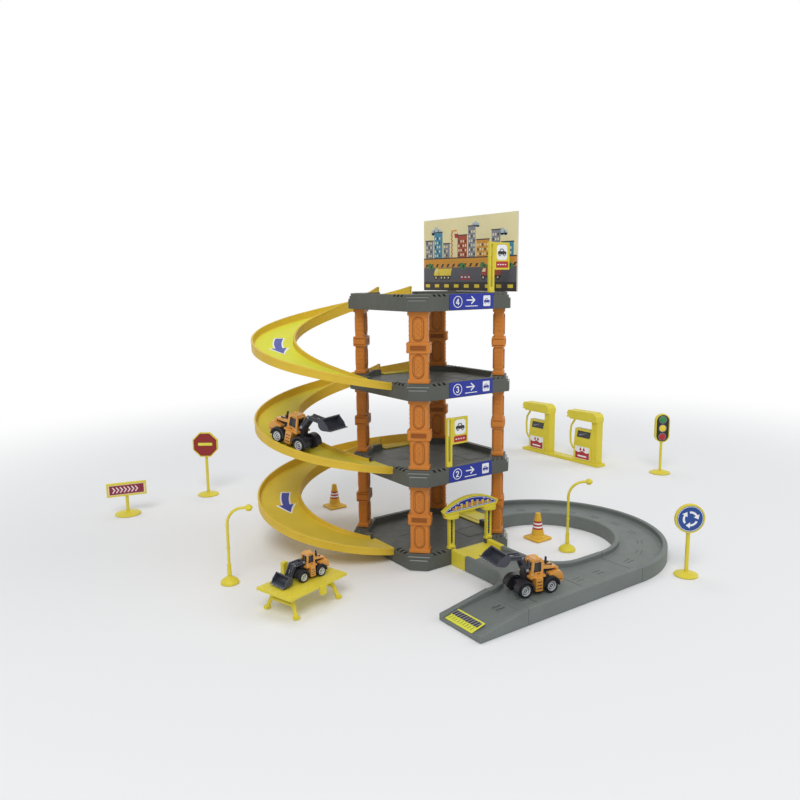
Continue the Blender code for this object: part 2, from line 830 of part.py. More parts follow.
def rounded_kerbs(item, ends):
    """Takes the sharp edges off the tops of the kerbs. ends tells which points lie on an open end."""
    bm = bmesh.new()
    bm.from_mesh(item.data)
    bmesh.ops.dissolve_limit(bm, angle_limit=math.radians(0.5), verts=bm.verts, edges=bm.edges)
    edges = []
    for edge in bm.edges:
        if len(edge.link_faces) != 2:
            continue
        ups = sorted(abs(face.normal.z) for face in edge.link_faces)
        mid = (edge.verts[0].co + edge.verts[1].co) / 2 / MM
        on_end = all(ends(vert.co / MM) for vert in edge.verts)
        if ups[0] < 0.5 < ups[1] and mid.z > ROAD_SURFACE + OVER and not on_end:
            edges.append(edge)
    bmesh.ops.bevel(bm, geom=edges, offset=KERB_ROUND * MM, segments=1, affect="EDGES")
    bm.to_mesh(item.data)
    bm.free()
    return item


def road_section():
    half = ROAD_WIDTH / 2
    lane = LANE / 2
    return [
        (-half, 0.0), (-half, KERB_HEIGHT), (-lane, KERB_HEIGHT), (-lane, ROAD_SURFACE),
        (lane, ROAD_SURFACE), (lane, KERB_HEIGHT), (half, KERB_HEIGHT), (half, 0.0),
    ]


def make_road_curve(name, start):
    """A quarter of the loop, from a start angle in degrees."""
    bm = bmesh.new()
    turn = math.radians(start)
    gap_turn = GAP / 2 / LOOP_RADIUS
    points = []
    for u, z in road_section():
        reach = LOOP_RADIUS + u
        points.append(bm.verts.new(Vector((reach, 0.0, z)) * MM))
    face = bm.faces.new(points)
    spin = Matrix.Rotation(turn + gap_turn, 4, "Z")
    bmesh.ops.transform(bm, matrix=spin, verts=bm.verts)
    bmesh.ops.spin(
        bm,
        geom=[face],
        cent=(0.0, 0.0, 0.0),
        axis=(0.0, 0.0, 1.0),
        angle=math.pi / 2 - 2 * gap_turn,
        steps=LOOP_STEPS,
    )
    bmesh.ops.translate(bm, verts=bm.verts, vec=Vector((*LOOP_CENTRE, 0.0)) * MM)
    item = shape_of(bm)
    ways = [math.radians(start), math.radians(start + 90.0)]

    def on_end(point):
        x, y = point.x - LOOP_CENTRE[0], point.y - LOOP_CENTRE[1]
        return any(abs(-x * math.sin(way) + y * math.cos(way)) < OVER / 2 for way in ways)

    return part(rounded_kerbs(item, on_end), name, "road_grey")


def junction_outline(inset, spare):
    """The junction's edge, moved in by inset, with its open ends moved out by spare."""
    low = LOOP_CENTRE[1] - LOOP_RADIUS - ROAD_WIDTH / 2 + inset
    high = LOOP_CENTRE[1] - LOOP_RADIUS + ROAD_WIDTH / 2 - inset
    left = GATE_X - ROAD_WIDTH / 2 + inset
    right = GATE_X + ROAD_WIDTH / 2 - inset
    fillet = BRANCH_FILLET + inset
    west = ENTRY_JOINT - spare
    east = LOOP_CENTRE[0] - GAP / 2 + spare
    north = BRANCH_END + spare
    outline = [(west, low), (east, low), (east, high)]
    outline += arc((right + fillet, high + fillet), fillet, 270.0, 180.0, FILLET_STEPS)
    outline += [(right, north), (left, north)]
    outline += arc((left - fillet, high + fillet), fillet, 0.0, -90.0, FILLET_STEPS)
    outline.append((west, high))
    return outline


def make_junction():
    body = plate(junction_outline(0.0, 0.0), 0.0, KERB_HEIGHT)
    lane = plate(junction_outline(KERB_WIDTH, OVER), ROAD_SURFACE, KERB_HEIGHT + OVER)
    body = cut(body, [lane])
    east = LOOP_CENTRE[0] - GAP / 2

    def on_end(point):
        near = OVER / 2
        return (
            point.x < ENTRY_JOINT + near or point.x > east - near or point.y > BRANCH_END - near
        )

    return part(rounded_kerbs(body, on_end), "road_junction", "road_grey")


def make_entry():
    """The road's sloping tip, which runs down to the ground."""
    middle = LOOP_CENTRE[1] - LOOP_RADIUS
    joint = ENTRY_JOINT - GAP
    bm = bmesh.new()
    points = [bm.verts.new(Vector((joint, middle + u, z)) * MM) for u, z in road_section()]
    face = bm.faces.new(points)
    for way, first in ((ENTRY_BREAK - joint, True), (ENTRY_TIP - ENTRY_BREAK, False)):
        pushed = bmesh.ops.extrude_face_region(bm, geom=[face])["geom"]
        verts = [item for item in pushed if isinstance(item, bmesh.types.BMVert)]
        bmesh.ops.translate(bm, verts=verts, vec=(way * MM, 0.0, 0.0))
        if not first:
            bmesh.ops.delete(bm, geom=[face], context="FACES_ONLY")
        face = [item for item in pushed if isinstance(item, bmesh.types.BMFace)][0]
    item = shape_of(bm)
    item = rounded_kerbs(item, lambda point: point.x > joint - OVER / 2 or point.x < ENTRY_TIP + OVER / 2)
    for vert in item.data.vertices:
        if vert.co.x / MM < ENTRY_TIP + OVER:
            height = vert.co.z / MM
            if height > ROAD_SURFACE + OVER / 2:
                vert.co.z = (TIP_KERB - (KERB_HEIGHT - height)) * MM
            elif height > OVER:
                vert.co.z = TIP_SURFACE * MM
    return part(item, "road_entry", "road_grey")


def make_connector(near, far, middle):
    """A yellow bridge piece from a deck's edge out to a road end, built along +X."""
    half = ROAD_WIDTH / 2
    deck_top = DECK_FLOOR + GAP + TONGUE_THICKNESS + GAP
    floor = [(near, 0.0), (far, 0.0), (far, ROAD_SURFACE), (near, deck_top)]
    kerb = [(near, 0.0), (far, 0.0), (far, KERB_HEIGHT), (near, DECK_HEIGHT)]
    lane = LANE / 2
    tongue_low = DECK_FLOOR + GAP
    inside = near - GAP - TONGUE_REACH
    shapes = [
        plate(floor, middle - half + OVER, middle + half - OVER, "Y"),
        plate(kerb, middle - half, middle - lane, "Y"),
        plate(kerb, middle + lane, middle + half, "Y"),
        box(
            (inside, middle - lane + GAP, tongue_low),
            (near + OVER, middle + lane - GAP, tongue_low + TONGUE_THICKNESS),
        ),
    ]
    item = joined(shapes)
    return rounded_kerbs(item, lambda point: point.x < near + OVER / 2 or point.x > far - OVER / 2)


def make_connectors():
    near = DECK_HALF + GAP
    part(make_connector(near, LOOP_CENTRE[0] - GAP / 2, ROAD_GATE_BACK), "connector_back", "sign_yellow")
    front = make_connector(near, -BRANCH_END - GAP, GATE_X)
    front.data.transform(Matrix.Rotation(-math.pi / 2, 4, "Z"))
    part(front, "connector_front", "sign_yellow")


def make_arch():
    """Two framed posts with round caps on the front rim, and the board across them."""
    y = -rim_middle()
    foot = DECK_HEIGHT + GAP
    half = ARCH_POST_WIDTH / 2
    depth = ARCH_POST_DEPTH / 2
    slot = half - ARCH_RAIL
    wide = ARCH_FOOT_WIDTH / 2
    top = foot + ARCH_POST_HEIGHT
    for side, name in ((-1, "arch_post_left"), (1, "arch_post_right")):
        x = GATE_X + side * ARCH_SPAN / 2
        post = cut(box((x - half, y - depth, foot), (x + half, y + depth, top)), [
            box(
                (x - slot, y - depth - OVER, foot + ARCH_FOOT_HEIGHT),
                (x + slot, y + depth + OVER, top - ARCH_RAIL),
            )
        ])
        collar = slab(2 * wide, ARCH_POST_DEPTH + 2 * GAP, foot, foot + ARCH_FOOT_HEIGHT / 2)
        shifted(collar, (x, y, 0.0))
        cap = rod((x, y, top - OVER / 2), (x, y, top + ARCH_CAP_HEIGHT), ARCH_CAP_RADIUS)
        part(joined([post, collar, cap]), name, "sign_yellow")
    low = top + ARCH_CAP_HEIGHT + GAP
    half = ARCH_BOARD_WIDTH / 2
    radius = (half**2 + ARCH_BOARD_RISE**2) / (2 * ARCH_BOARD_RISE)
    spread = math.degrees(math.asin(half / radius))
    centre = (GATE_X, low + ARCH_BOARD_END + ARCH_BOARD_RISE - radius)
    under = half - ARCH_BOARD_UNDERCUT
    outline = [(GATE_X - under, low), (GATE_X + under, low)]
    outline += arc(centre, radius, 90.0 - spread, 90.0 + spread, 12)
    board = plate(outline, y - ARCH_BOARD_DEPTH / 2, y + ARCH_BOARD_DEPTH / 2, "Y")
    part(board, "arch_board", "sign_yellow")


def make_parking_sign(name, level, x):
    """A framed post that pegs into the front rim, with a plate beside its head."""
    foot = deck_base(level) + DECK_HEIGHT + GAP
    top = foot + SIGN_POST_HEIGHT
    y = -rim_middle()
    half = SIGN_POST_WIDTH / 2
    depth = SIGN_POST_DEPTH / 2
    post = box((x - half, y - depth, foot), (x + half, y + depth, top))
    slot = half - SIGN_RAIL
    window = box(
        (x - slot, y - depth - OVER, foot + SIGN_FOOT), (x + slot, y + depth + OVER, top - SIGN_RAIL)
    )
    post = cut(post, [window])
    peg = SIGN_PEG / 2
    thick = SIGN_PLATE_DEPTH / 2
    pieces = [
        post,
        box((x - peg, y - peg, foot - SIGN_FOOT + 2 * GAP), (x + peg, y + peg, foot + OVER)),
        box(
            (x + half - OVER, y - thick, top - SIGN_PLATE_HEIGHT),
            (x + half + SIGN_PLATE_WIDTH, y + thick, top - GAP),
        ),
    ]
    return part(joined(pieces), name, "sign_yellow")


def make_billboard():
    """A thin printed board held by two tabs in the roof's right-hand rim."""
    low = deck_base(DECKS) + DECK_HEIGHT + GAP
    x = rim_middle()
    half = BOARD_THICKNESS / 2
    pieces = [box((x - half, BOARD_LOW_Y, low), (x + half, BOARD_LOW_Y + BOARD_LENGTH, low + BOARD_HEIGHT))]
    for side in (-1, 1):
        y = side * BOARD_TAB_SPACING / 2
        reach = BOARD_TAB_WIDTH / 2
        pieces.append(box((x - half, y - reach, low - BOARD_TAB_DEPTH), (x + half, y + reach, low + OVER)))
    return part(joined(pieces), "billboard", "card_print")


def sign_foot(radius, height):
    """A domed round base with the post that rises from it."""
    return [
        turned([
            (0.0, BASE_THICKNESS + OVER), (2 * POST_RADIUS, BASE_THICKNESS + OVER),
            (radius * 0.72, BASE_THICKNESS), (radius, BASE_THICKNESS / 2), (radius, 0.0), (0.0, 0.0),
        ]),
        rod((0.0, 0.0, BASE_THICKNESS), (0.0, 0.0, height), POST_RADIUS, sides=12),
    ]


def make_sign(name, pieces, where, turn):
    return place(part(joined(pieces), name, "sign_yellow"), (*where, 0.0), turn)


def make_free_signs():
    front = -POST_RADIUS - PLATE_DEPTH / 2
    back = front + PLATE_DEPTH
    middle = STOP_HEIGHT - STOP_RADIUS
    face = arc((0.0, middle), STOP_RADIUS / math.cos(math.pi / 8), 22.5, 337.5, 7)
    pieces = sign_foot(STOP_BASE, middle) + [plate(face, front, back, "Y")]
    make_sign("stop_sign", pieces, STOP_PLACE, FACE_TURN)

    middle = ROUNDABOUT_HEIGHT - ROUNDABOUT_RADIUS
    disc = rod((0.0, front, middle), (0.0, back, middle), ROUNDABOUT_RADIUS, sides=28)
    make_sign("roundabout_sign", sign_foot(ROUNDABOUT_BASE, middle) + [disc], ROUNDABOUT_PLACE, FACE_TURN)

    width, height = BARRIER_PLATE
    board = box((-width / 2, front, BARRIER_HEIGHT - height), (width / 2, back, BARRIER_HEIGHT))
    pieces = sign_foot(BARRIER_BASE, BARRIER_HEIGHT - height / 2) + [board]
    make_sign("chevron_barrier", pieces, BARRIER_PLACE, BARRIER_TURN)

    width, height = TRAFFIC_HEAD
    radius = width / 2
    high = TRAFFIC_HEIGHT - radius
    low = TRAFFIC_HEIGHT - height + radius
    outline = arc((0.0, high), radius, 0.0, 180.0, 10) + arc((0.0, low), radius, 180.0, 360.0, 10)
    head = plate(outline, front, front + TRAFFIC_HEAD_DEPTH, "Y")
    make_sign("traffic_light", sign_foot(TRAFFIC_BASE, high) + [head], TRAFFIC_PLACE, FACE_TURN)


def make_lamp_shape():
    """A street lamp whose tube bends over towards +X and carries a small round head."""
    straight = LAMP_HEIGHT - LAMP_BEND
    bend = arc((LAMP_BEND, straight), LAMP_BEND, 180.0, 90.0, 5)
    points = [(0.0, 0.0, OVER), (0.0, 0.0, straight / 2)]
    points += [(u, 0.0, z) for u, z in bend]
    points.append((LAMP_REACH, 0.0, LAMP_HEIGHT))
    half = LAMP_HEAD_HEIGHT / 2
    head = turned([
        (0.0, half), (LAMP_HEAD_RADIUS * 0.45, half), (LAMP_HEAD_RADIUS, 0.0),
        (LAMP_HEAD_RADIUS * 0.6, -half), (0.0, -half),
    ], sides=10)
    socket_radius, socket_height = LAMP_SOCKET
    foot = turned([
        (0.0, socket_height), (socket_radius, socket_height), (socket_radius, LAMP_BASE_HEIGHT),
        (LAMP_BASE * 0.62, LAMP_BASE_HEIGHT * 0.62), (LAMP_BASE, LAMP_BASE_HEIGHT / 4),
        (LAMP_BASE, 0.0), (0.0, 0.0),
    ], sides=14)
    return joined([foot, tube(points, LAMP_TUBE, 1), shifted(head, (LAMP_REACH, 0.0, LAMP_HEIGHT))])


def make_lamps():
    first = None
    for name, where in LAMP_PLACES.items():
        if first is None:
            first = part(make_lamp_shape(), name, "sign_yellow")
            item = first
        else:
            item = copy_of(first, name)
        place(item, (*where, 0.0), FACE_TURN)


def make_cone_shape():
    half = CONE_BASE / 2
    base = plate(octagon(half, CONE_BASE_CORNER), 0.0, CONE_BASE_HEIGHT)
    body = turned([
        (0.0, CONE_HEIGHT), (CONE_TOP_RADIUS * 0.7, CONE_HEIGHT),
        (CONE_TOP_RADIUS, CONE_HEIGHT - CONE_TOP_RADIUS * 0.5),
        (CONE_FOOT_RADIUS, CONE_BASE_HEIGHT * 2), (CONE_SKIRT_RADIUS, CONE_BASE_HEIGHT * 1.6),
        (CONE_SKIRT_RADIUS, CONE_BASE_HEIGHT / 2), (0.0, CONE_BASE_HEIGHT / 2),
    ])
    return joined([base, body])


def make_cones():
    first = None
    for name, where in CONE_PLACES.items():
        if first is None:
            first = part(make_cone_shape(), name, "sign_yellow")
            item = first
        else:
            item = copy_of(first, name)
        place(item, (*where, 0.0))


def make_pump(y):
    """One pump whose pillar starts at y: pillar, sloped body, canopy and hose."""
    back = FUEL_X[1] - PUMP_SETBACK
    sink = FUEL_BASE_HEIGHT / 2
    pillar_width, pillar_depth = PUMP_PILLAR
    body_width, body_depth = PUMP_BODY
    left = y + pillar_width - OVER
    right_top = PUMP_HEIGHT - CANOPY_HEIGHT
    face = back - body_depth
    side = [
        (face, sink), (back - 1.5, sink), (back - 1.5, PUMP_BODY_HEIGHT),
        (face + PUMP_SLOPE, PUMP_BODY_HEIGHT), (face, PUMP_WAIST),
    ]
    canopy = [
        (y - 0.5, right_top), (y + CANOPY_REACH - CANOPY_END, right_top),
        (y + CANOPY_REACH, PUMP_HEIGHT - CANOPY_HEIGHT * 0.45),
        (y + CANOPY_REACH - CANOPY_END * 0.4, PUMP_HEIGHT - 1.0), (y + CANOPY_END, PUMP_HEIGHT),
        (y + 1.5, PUMP_HEIGHT - 3.0), (y - 0.5, PUMP_HEIGHT - CANOPY_HEIGHT * 0.5),
    ]
    hose_x = back - pillar_depth / 2
    top_y = y + CANOPY_REACH - CANOPY_END - HOSE_RADIUS
    foot_y = left + body_width
    out = foot_y + HOSE_SWELL
    rise = right_top - HOSE_FOOT
    hose = [
        (hose_x, top_y, right_top + OVER), (hose_x, top_y + 1.0, right_top - 4.0),
        (hose_x, out - 1.5, right_top - rise * 0.25), (hose_x, out, right_top - rise * 0.5),
        (hose_x, out - 1.0, HOSE_FOOT + rise * 0.2), (hose_x, out - 5.0, HOSE_FOOT + 3.0),
        (hose_x, foot_y - OVER, HOSE_FOOT),
    ]
    return [
        box((back - pillar_depth, y, sink), (back, y + pillar_width, right_top + OVER)),
        plate(side, left, foot_y, "Y"),
        plate(canopy, back - CANOPY_DEPTH + 1.0, back + 1.0, "X"),
        tube(hose, HOSE_RADIUS, 1),
    ]


def make_fuel_station():
    """Two pumps on one long base, facing -X."""
    pieces = [box((FUEL_X[0], FUEL_Y[0], 0.0), (FUEL_X[1], FUEL_Y[1], FUEL_BASE_HEIGHT))]
    for index in range(2):
        pieces += make_pump(FUEL_Y[0] + PUMP_INSET + index * FUEL_PUMP_SPACING)
    return part(joined(pieces), "fuel_station", "sign_yellow")


def make_table():
    """A work table: a slab on splayed trestle legs, with one tab standing up and one hanging."""
    length, width = TABLE_SIZE
    under = TABLE_HEIGHT - TABLE_THICKNESS
    tab_depth, tab_width = TABLE_TAB
    pieces = [box((-length / 2, -width / 2, under), (length / 2, width / 2, TABLE_HEIGHT))]
    edge = width / 2
    middle = edge - OVER + tab_depth / 2
    up = slab(tab_width, tab_depth, under + OVER / 2, TABLE_HEIGHT + TABLE_TAB_HEIGHT)
    down = slab(tab_width, tab_depth, under - TABLE_TAB_HEIGHT / 2, TABLE_HEIGHT - OVER / 2)
    pieces.append(shifted(up, (TABLE_UP_TAB_SHIFT, middle, 0.0)))
    pieces.append(shifted(down, (TABLE_TAB_SHIFT, -middle, 0.0)))
    foot = TABLE_FOOT / 2
    for sx in (-1, 1):
        hip = sx * (length / 2 - TABLE_LEG_INSET)
        toe = hip + sx * TABLE_LEG_SPLAY
        knees = []
        for sy in (-1, 1):
            reach = edge - foot - 0.5
            x, y = toe, sy * reach
            pieces.append(box((x - foot, y - foot, 0.0), (x + foot, y + foot, TABLE_FOOT * 0.6)))
            head = (hip, sy * edge * 0.45, under + OVER)
            pieces.append(rod(head, (x, y, OVER * 0.8), TABLE_LEG_RADIUS, sides=8))
            knees.append(((Vector(head) + Vector((x, y, OVER))) / 2).to_tuple())
        pieces.append(rod(knees[0], knees[1], TABLE_LEG_RADIUS * 0.8, sides=8))
    return place(part(joined(pieces), "work_table", "sign_yellow"), (*TABLE_PLACE, 0.0), TABLE_TURN)


def make_wheelset_shape():
    """Two wheels with dished hubs on one axle along Y, centred on the axle's middle."""
    outer = (TRACK + WHEEL_WIDTH) / 2
    inner = (TRACK - WHEEL_WIDTH) / 2
    pieces = [rod((0, -inner - OVER, 0), (0, inner + OVER, 0), AXLE_RADIUS, sides=8)]
    cutters = []
    for side in (-1, 1):
        pieces.append(rod((0, side * inner, 0), (0, side * outer, 0), WHEEL_RADIUS))
        face = side * (outer - HUB_DEPTH)
        cutters.append(rod((0, face, 0), (0, side * (outer + OVER), 0), HUB_RADIUS, sides=10))
    return cut(joined(pieces), cutters)


def make_chassis_shape():
    """The black frame: spine, fenders, arm tower with its pin, and axle slots from below."""
    spine = box(
        (CHASSIS_REAR, -CHASSIS_HALF_WIDTH, CHASSIS_LOW), (CHASSIS_FRONT, CHASSIS_HALF_WIDTH, CHASSIS_TOP)
    )
    pieces = [spine]
    cutters = []
    inner = WHEEL_RADIUS + FENDER_PLAY
    outer = inner + FENDER_THICKNESS
    slot = AXLE_RADIUS + AXLE_PLAY
    for side in (-1, 1):
        x = side * WHEELBASE / 2
        band = arc((x, WHEEL_RADIUS), outer, 0.0, 180.0, FENDER_STEPS)
        band += arc((x, WHEEL_RADIUS), inner, 180.0, 0.0, FENDER_STEPS)
        root = CHASSIS_HALF_WIDTH - FENDER_ROOT
        pieces.append(plate(band, -FENDER_HALF_WIDTH, -root, "Y"))
        pieces.append(plate(band, root, FENDER_HALF_WIDTH, "Y"))
        reach = CHASSIS_HALF_WIDTH + OVER
        cutters.append(box((x - slot, -reach, -OVER), (x + slot, reach, WHEEL_RADIUS)))
        cutters.append(bore((x, -reach, WHEEL_RADIUS), (x, reach, WHEEL_RADIUS), slot))
    pieces.append(box(
        (ENGINE_REAR, -ENGINE_HALF_WIDTH, CHASSIS_TOP - OVER),
        (ENGINE_FRONT, ENGINE_HALF_WIDTH, hood_underside(ENGINE_REAR) - GAP),
    ))
    px, pz = ARM_PIVOT
    pieces.append(box(
        (px - TOWER_HALF_LENGTH, -TOWER_HALF_WIDTH, CHASSIS_TOP - OVER),
        (px + TOWER_HALF_LENGTH, TOWER_HALF_WIDTH, pz + TOWER_HALF_LENGTH),
    ))
    reach = arm_outer()
    pieces.append(rod((px, -reach, pz), (px, reach, pz), PIN_RADIUS, sides=8))
    return cut(joined(pieces), cutters)


def arm_inner():
    return TOWER_HALF_WIDTH + GAP


def arm_outer():
    return arm_inner() + ARM_THICKNESS


def hood_underside(x):
    """The height of the hood's sloping underside, which falls towards the rear."""
    share = (CAB_REAR - x) / (CAB_REAR - HOOD_REAR)
    return HOOD_TOP - HOOD_THICKNESS - HOOD_FALL * share


def make_cab_block():
    """The cab itself, with its windows sunk into all four sides."""
    low = CHASSIS_TOP + GAP
    slope = CAB_SLOPE
    shoulder = CAB_TOP - CAB_ROUND
    side = [
        (CAB_REAR, low), (CAB_FRONT, low), (CAB_FRONT, CAB_SILL), (CAB_FRONT - slope, shoulder),
        (CAB_FRONT - slope - CAB_ROUND, CAB_TOP), (CAB_REAR + CAB_ROUND, CAB_TOP), (CAB_REAR, shoulder),
    ]
    cab = plate(side, -CAB_HALF_WIDTH, CAB_HALF_WIDTH, "Y")
    frame = WINDOW_FRAME
    glass_low = CAB_SILL + frame
    glass_high = shoulder - frame / 2
    pane = [
        (CAB_REAR + frame, glass_low), (CAB_FRONT - frame, glass_low),
        (CAB_FRONT - slope - frame, glass_high), (CAB_REAR + frame, glass_high),
    ]
    shut = CAB_HALF_WIDTH - WINDOW_DEPTH
    half = CAB_HALF_WIDTH - frame
    front = CAB_FRONT - slope - WINDOW_DEPTH
    return cut(cab, [
        plate(pane, -CAB_HALF_WIDTH - OVER, -shut, "Y"),
        plate(pane, shut, CAB_HALF_WIDTH + OVER, "Y"),
        box((front, -half, glass_low), (CAB_FRONT + OVER, half, glass_high)),
        box((CAB_REAR - OVER, -half, HOOD_TOP + frame / 2), (CAB_REAR + WINDOW_DEPTH, half, glass_high)),
    ])


def make_cab_shape():
    """The cast upper body: cab, hood, counterweight, sills, side steps and exhaust."""
    sill = fender_top() + GAP
    rear_top = HOOD_TOP - HOOD_FALL
    inside = HOOD_REAR + HOOD_WALL
    joint = CAB_REAR + OVER
    hood = [
        (joint, hood_underside(joint)), (joint, HOOD_TOP), (CAB_REAR, HOOD_TOP),
        (HOOD_REAR + 2.0, rear_top), (HOOD_REAR, rear_top - 1.0), (HOOD_REAR, WEIGHT_TOP - 3.0),
        (inside, WEIGHT_TOP - 3.0), (inside, hood_underside(inside)),
    ]
    weight = [
        (WEIGHT_FRONT, sill - OVER), (WEIGHT_FRONT, sill + SILL_THICKNESS), (HOOD_REAR + 4.0, WEIGHT_TOP),
        (HOOD_REAR, WEIGHT_TOP), (WEIGHT_REAR, WEIGHT_TOP - 4.0), (WEIGHT_REAR, WEIGHT_LOW),
        (CHASSIS_REAR - GAP, WEIGHT_LOW), (CHASSIS_REAR - GAP, CHASSIS_TOP + GAP),
        (WEIGHT_FRONT, CHASSIS_TOP + GAP),
    ]
    bay = box(
        (ENGINE_REAR - OVER, -ENGINE_HALF_WIDTH - GAP, CHASSIS_TOP),
        (ENGINE_FRONT, ENGINE_HALF_WIDTH + GAP, hood_underside(HOOD_REAR)),
    )
    exhaust_top = HOOD_TOP + EXHAUST_HEIGHT
    sill_top = sill + SILL_THICKNESS
    sill_plate = box((CAB_REAR, -SILL_HALF_WIDTH, sill), (SILL_FRONT, SILL_HALF_WIDTH, sill_top))
    aside = TOWER_HALF_WIDTH + 2 * GAP
    tower_room = box((CAB_FRONT, -aside, sill - OVER), (SILL_FRONT + OVER, aside, sill_top + OVER))
    pieces = [
        make_cab_block(),
        plate(hood, -HOOD_HALF_WIDTH, HOOD_HALF_WIDTH, "Y"),
        cut(plate(weight, -WEIGHT_HALF_WIDTH, WEIGHT_HALF_WIDTH, "Y"), [bay]),
        rod((EXHAUST_X, 0.0, rear_top - OVER), (EXHAUST_X, 0.0, exhaust_top), EXHAUST_RADIUS, sides=6),
        cut(sill_plate, [tower_room]),
    ]
    for sign in (-1, 1):
        near, far = sorted((sign * (CHASSIS_HALF_WIDTH + GAP), sign * STEP_HALF_WIDTH))
        pieces.append(box((STEP_REAR, near, STEP_LOW), (STEP_FRONT, far, sill + SILL_THICKNESS / 2)))
    reach = STEP_HALF_WIDTH + OVER
    clear = WHEEL_RADIUS + FENDER_PLAY + FENDER_THICKNESS + GAP
    arches = [
        bore((x, -reach, WHEEL_RADIUS), (x, reach, WHEEL_RADIUS), clear, sides=24)
        for x in (-WHEELBASE / 2, WHEELBASE / 2)
    ]
    return cut(joined(pieces), arches)


def fender_top():
    return 2 * WHEEL_RADIUS + FENDER_PLAY + FENDER_THICKNESS


def make_arm_shape():
    """Two cranked side plates joined by cross bars, with the arm pivot at the origin."""
    ex, ez = ARM_ELBOW
    bx, bz = BUCKET_PIVOT
    beam = ARM_BEAM / 2
    way = Vector((bx - ex, bz - ez)).normalized()
    across = Vector((-way.y, way.x))
    outline = arc((0.0, 0.0), beam, 270.0, 90.0, 4)
    outline += [(ex + beam * 0.6, ez + beam)]
    tip = math.degrees(math.atan2(across.y, across.x))
    outline += arc((bx, bz), beam, tip, tip - 180.0, 4)
    outline += [(ex - beam * 0.5, ez - beam)]
    hole = PIN_RADIUS + PIN_PLAY
    pieces = []
    cutters = []
    for sign in (-1, 1):
        near, far = sorted((sign * arm_inner(), sign * arm_outer()))
        pieces.append(plate(outline, near, far, "Y"))
    bar = arm_inner() + ARM_THICKNESS / 2
    pieces.append(rod((ex, -bar, ez), (ex, bar, ez), ARM_BAR, sides=6))
    knee = Vector((ex, ez)).lerp(Vector((bx, bz)), 0.5)
    pieces.append(rod((knee.x, -bar, knee.y), (knee.x, bar, knee.y), ARM_BAR, sides=6))
    for x, z in ((0.0, 0.0), BUCKET_PIVOT):
        cutters.append(bore((x, -arm_outer() - OVER, z), (x, arm_outer() + OVER, z), hole))
    return cut(joined(pieces), cutters)


def make_bucket_shape():
    """A scoop with cheeks, and a lug with a pin behind it on the bucket pivot at the origin."""
    back = BUCKET_BACK
    radius = BUCKET_RADIUS
    shell = BUCKET_SHELL
    centre = (back + radius, 0.0)
    outer = arc(centre, radius, 105.0, 270.0, 10) + [(back + radius + BUCKET_LIP, -radius)]
    inner = [(back + radius + BUCKET_LIP, -radius + shell * 0.6)]
    inner += arc(centre, radius - shell, 270.0, 105.0, 10)
    scoop = plate(outer + inner, -BUCKET_HALF_WIDTH, BUCKET_HALF_WIDTH, "Y")
    cheek = arc(centre, radius, 105.0, 270.0, 10) + [
        (back + radius + BUCKET_LIP * 0.8, -radius), (back + radius + BUCKET_LIP * 0.55, -radius * 0.2),
    ]
    pieces = [scoop]
    for sign in (-1, 1):
        near, far = sorted((sign * (BUCKET_HALF_WIDTH - shell), sign * (BUCKET_HALF_WIDTH + 0.2)))
        pieces.append(plate(cheek, near, far, "Y"))
    lug = TOWER_HALF_WIDTH
    height = ARM_BEAM / 2
    pieces.append(box((-1.8, -lug, -height), (back + shell, lug, height)))
    reach = arm_outer()
    pieces.append(rod((0.0, -reach, 0.0), (0.0, reach, 0.0), PIN_RADIUS, sides=8))
    return joined(pieces)


def loader_frame(name, location, heading, pitch, scale=1.0):
    """An empty on the road under the loader, turned to its heading and nose-down pitch."""
    frame = bpy.data.objects.new(f"{name}_frame", None)
    CUTTERS.objects.link(frame)
    frame.location = Vector(location) * MM
    frame.rotation_euler = (0.0, pitch, heading)
    frame.scale = (scale, scale, scale)
    return frame


def make_loader(name, frame, arm_angle, bucket_angle, shapes):
    """The six pieces of one loader, hung on its frame. Angles are in degrees, up is positive."""
    def piece(kind, finish):
        title = f"{name}_{kind}"
        if kind in shapes:
            return copy_of(shapes[kind], title)
        makers = {
            "chassis": make_chassis_shape, "cab": make_cab_shape, "arm": make_arm_shape,
            "bucket": make_bucket_shape, "front_wheels": make_wheelset_shape,
        }
        shapes[kind] = part(makers[kind](), title, finish)
        return shapes[kind]

    chassis = piece("chassis", "black_plastic")
    chassis.parent = frame
    cab = piece("cab", "loader_orange")
    cab.parent = frame
    front = piece("front_wheels", "black_plastic")
    rear = copy_of(front, f"{name}_rear_wheels")
    for wheels, side in ((front, 1), (rear, -1)):
        wheels.parent = frame
        wheels.location = Vector((side * WHEELBASE / 2, 0.0, WHEEL_RADIUS)) * MM
    arm = piece("arm", "black_plastic")
    arm.parent = frame
    arm.location = Vector((ARM_PIVOT[0], 0.0, ARM_PIVOT[1])) * MM
    arm.rotation_euler = (0.0, -math.radians(arm_angle), 0.0)
    bucket = piece("bucket", "black_plastic")
    bucket.parent = arm
    bucket.location = Vector((BUCKET_PIVOT[0], 0.0, BUCKET_PIVOT[1])) * MM
    bucket.rotation_euler = (0.0, -math.radians(bucket_angle), 0.0)


def ramp_seat(level, centre, heading, pitch):
    """The height at which the loader's wheels just clear the twisted ramp floor."""
    highest = -math.inf
    for along in (-WHEELBASE / 2, WHEELBASE / 2):
        for across in (-1, 1):
            for edge in (-1, 1):
                off = across * (TRACK + edge * WHEEL_WIDTH) / 2
                flat = along * math.cos(pitch)
                x = centre[0] + flat * math.cos(heading) - off * math.sin(heading)
                y = centre[1] + flat * math.sin(heading) + off * math.cos(heading)
                floor = deck_base(level) + ramp_floor_top() - ramp_fall(ramp_angle(x, y))
                highest = max(highest, floor + along * math.sin(pitch))
    return highest + GAP


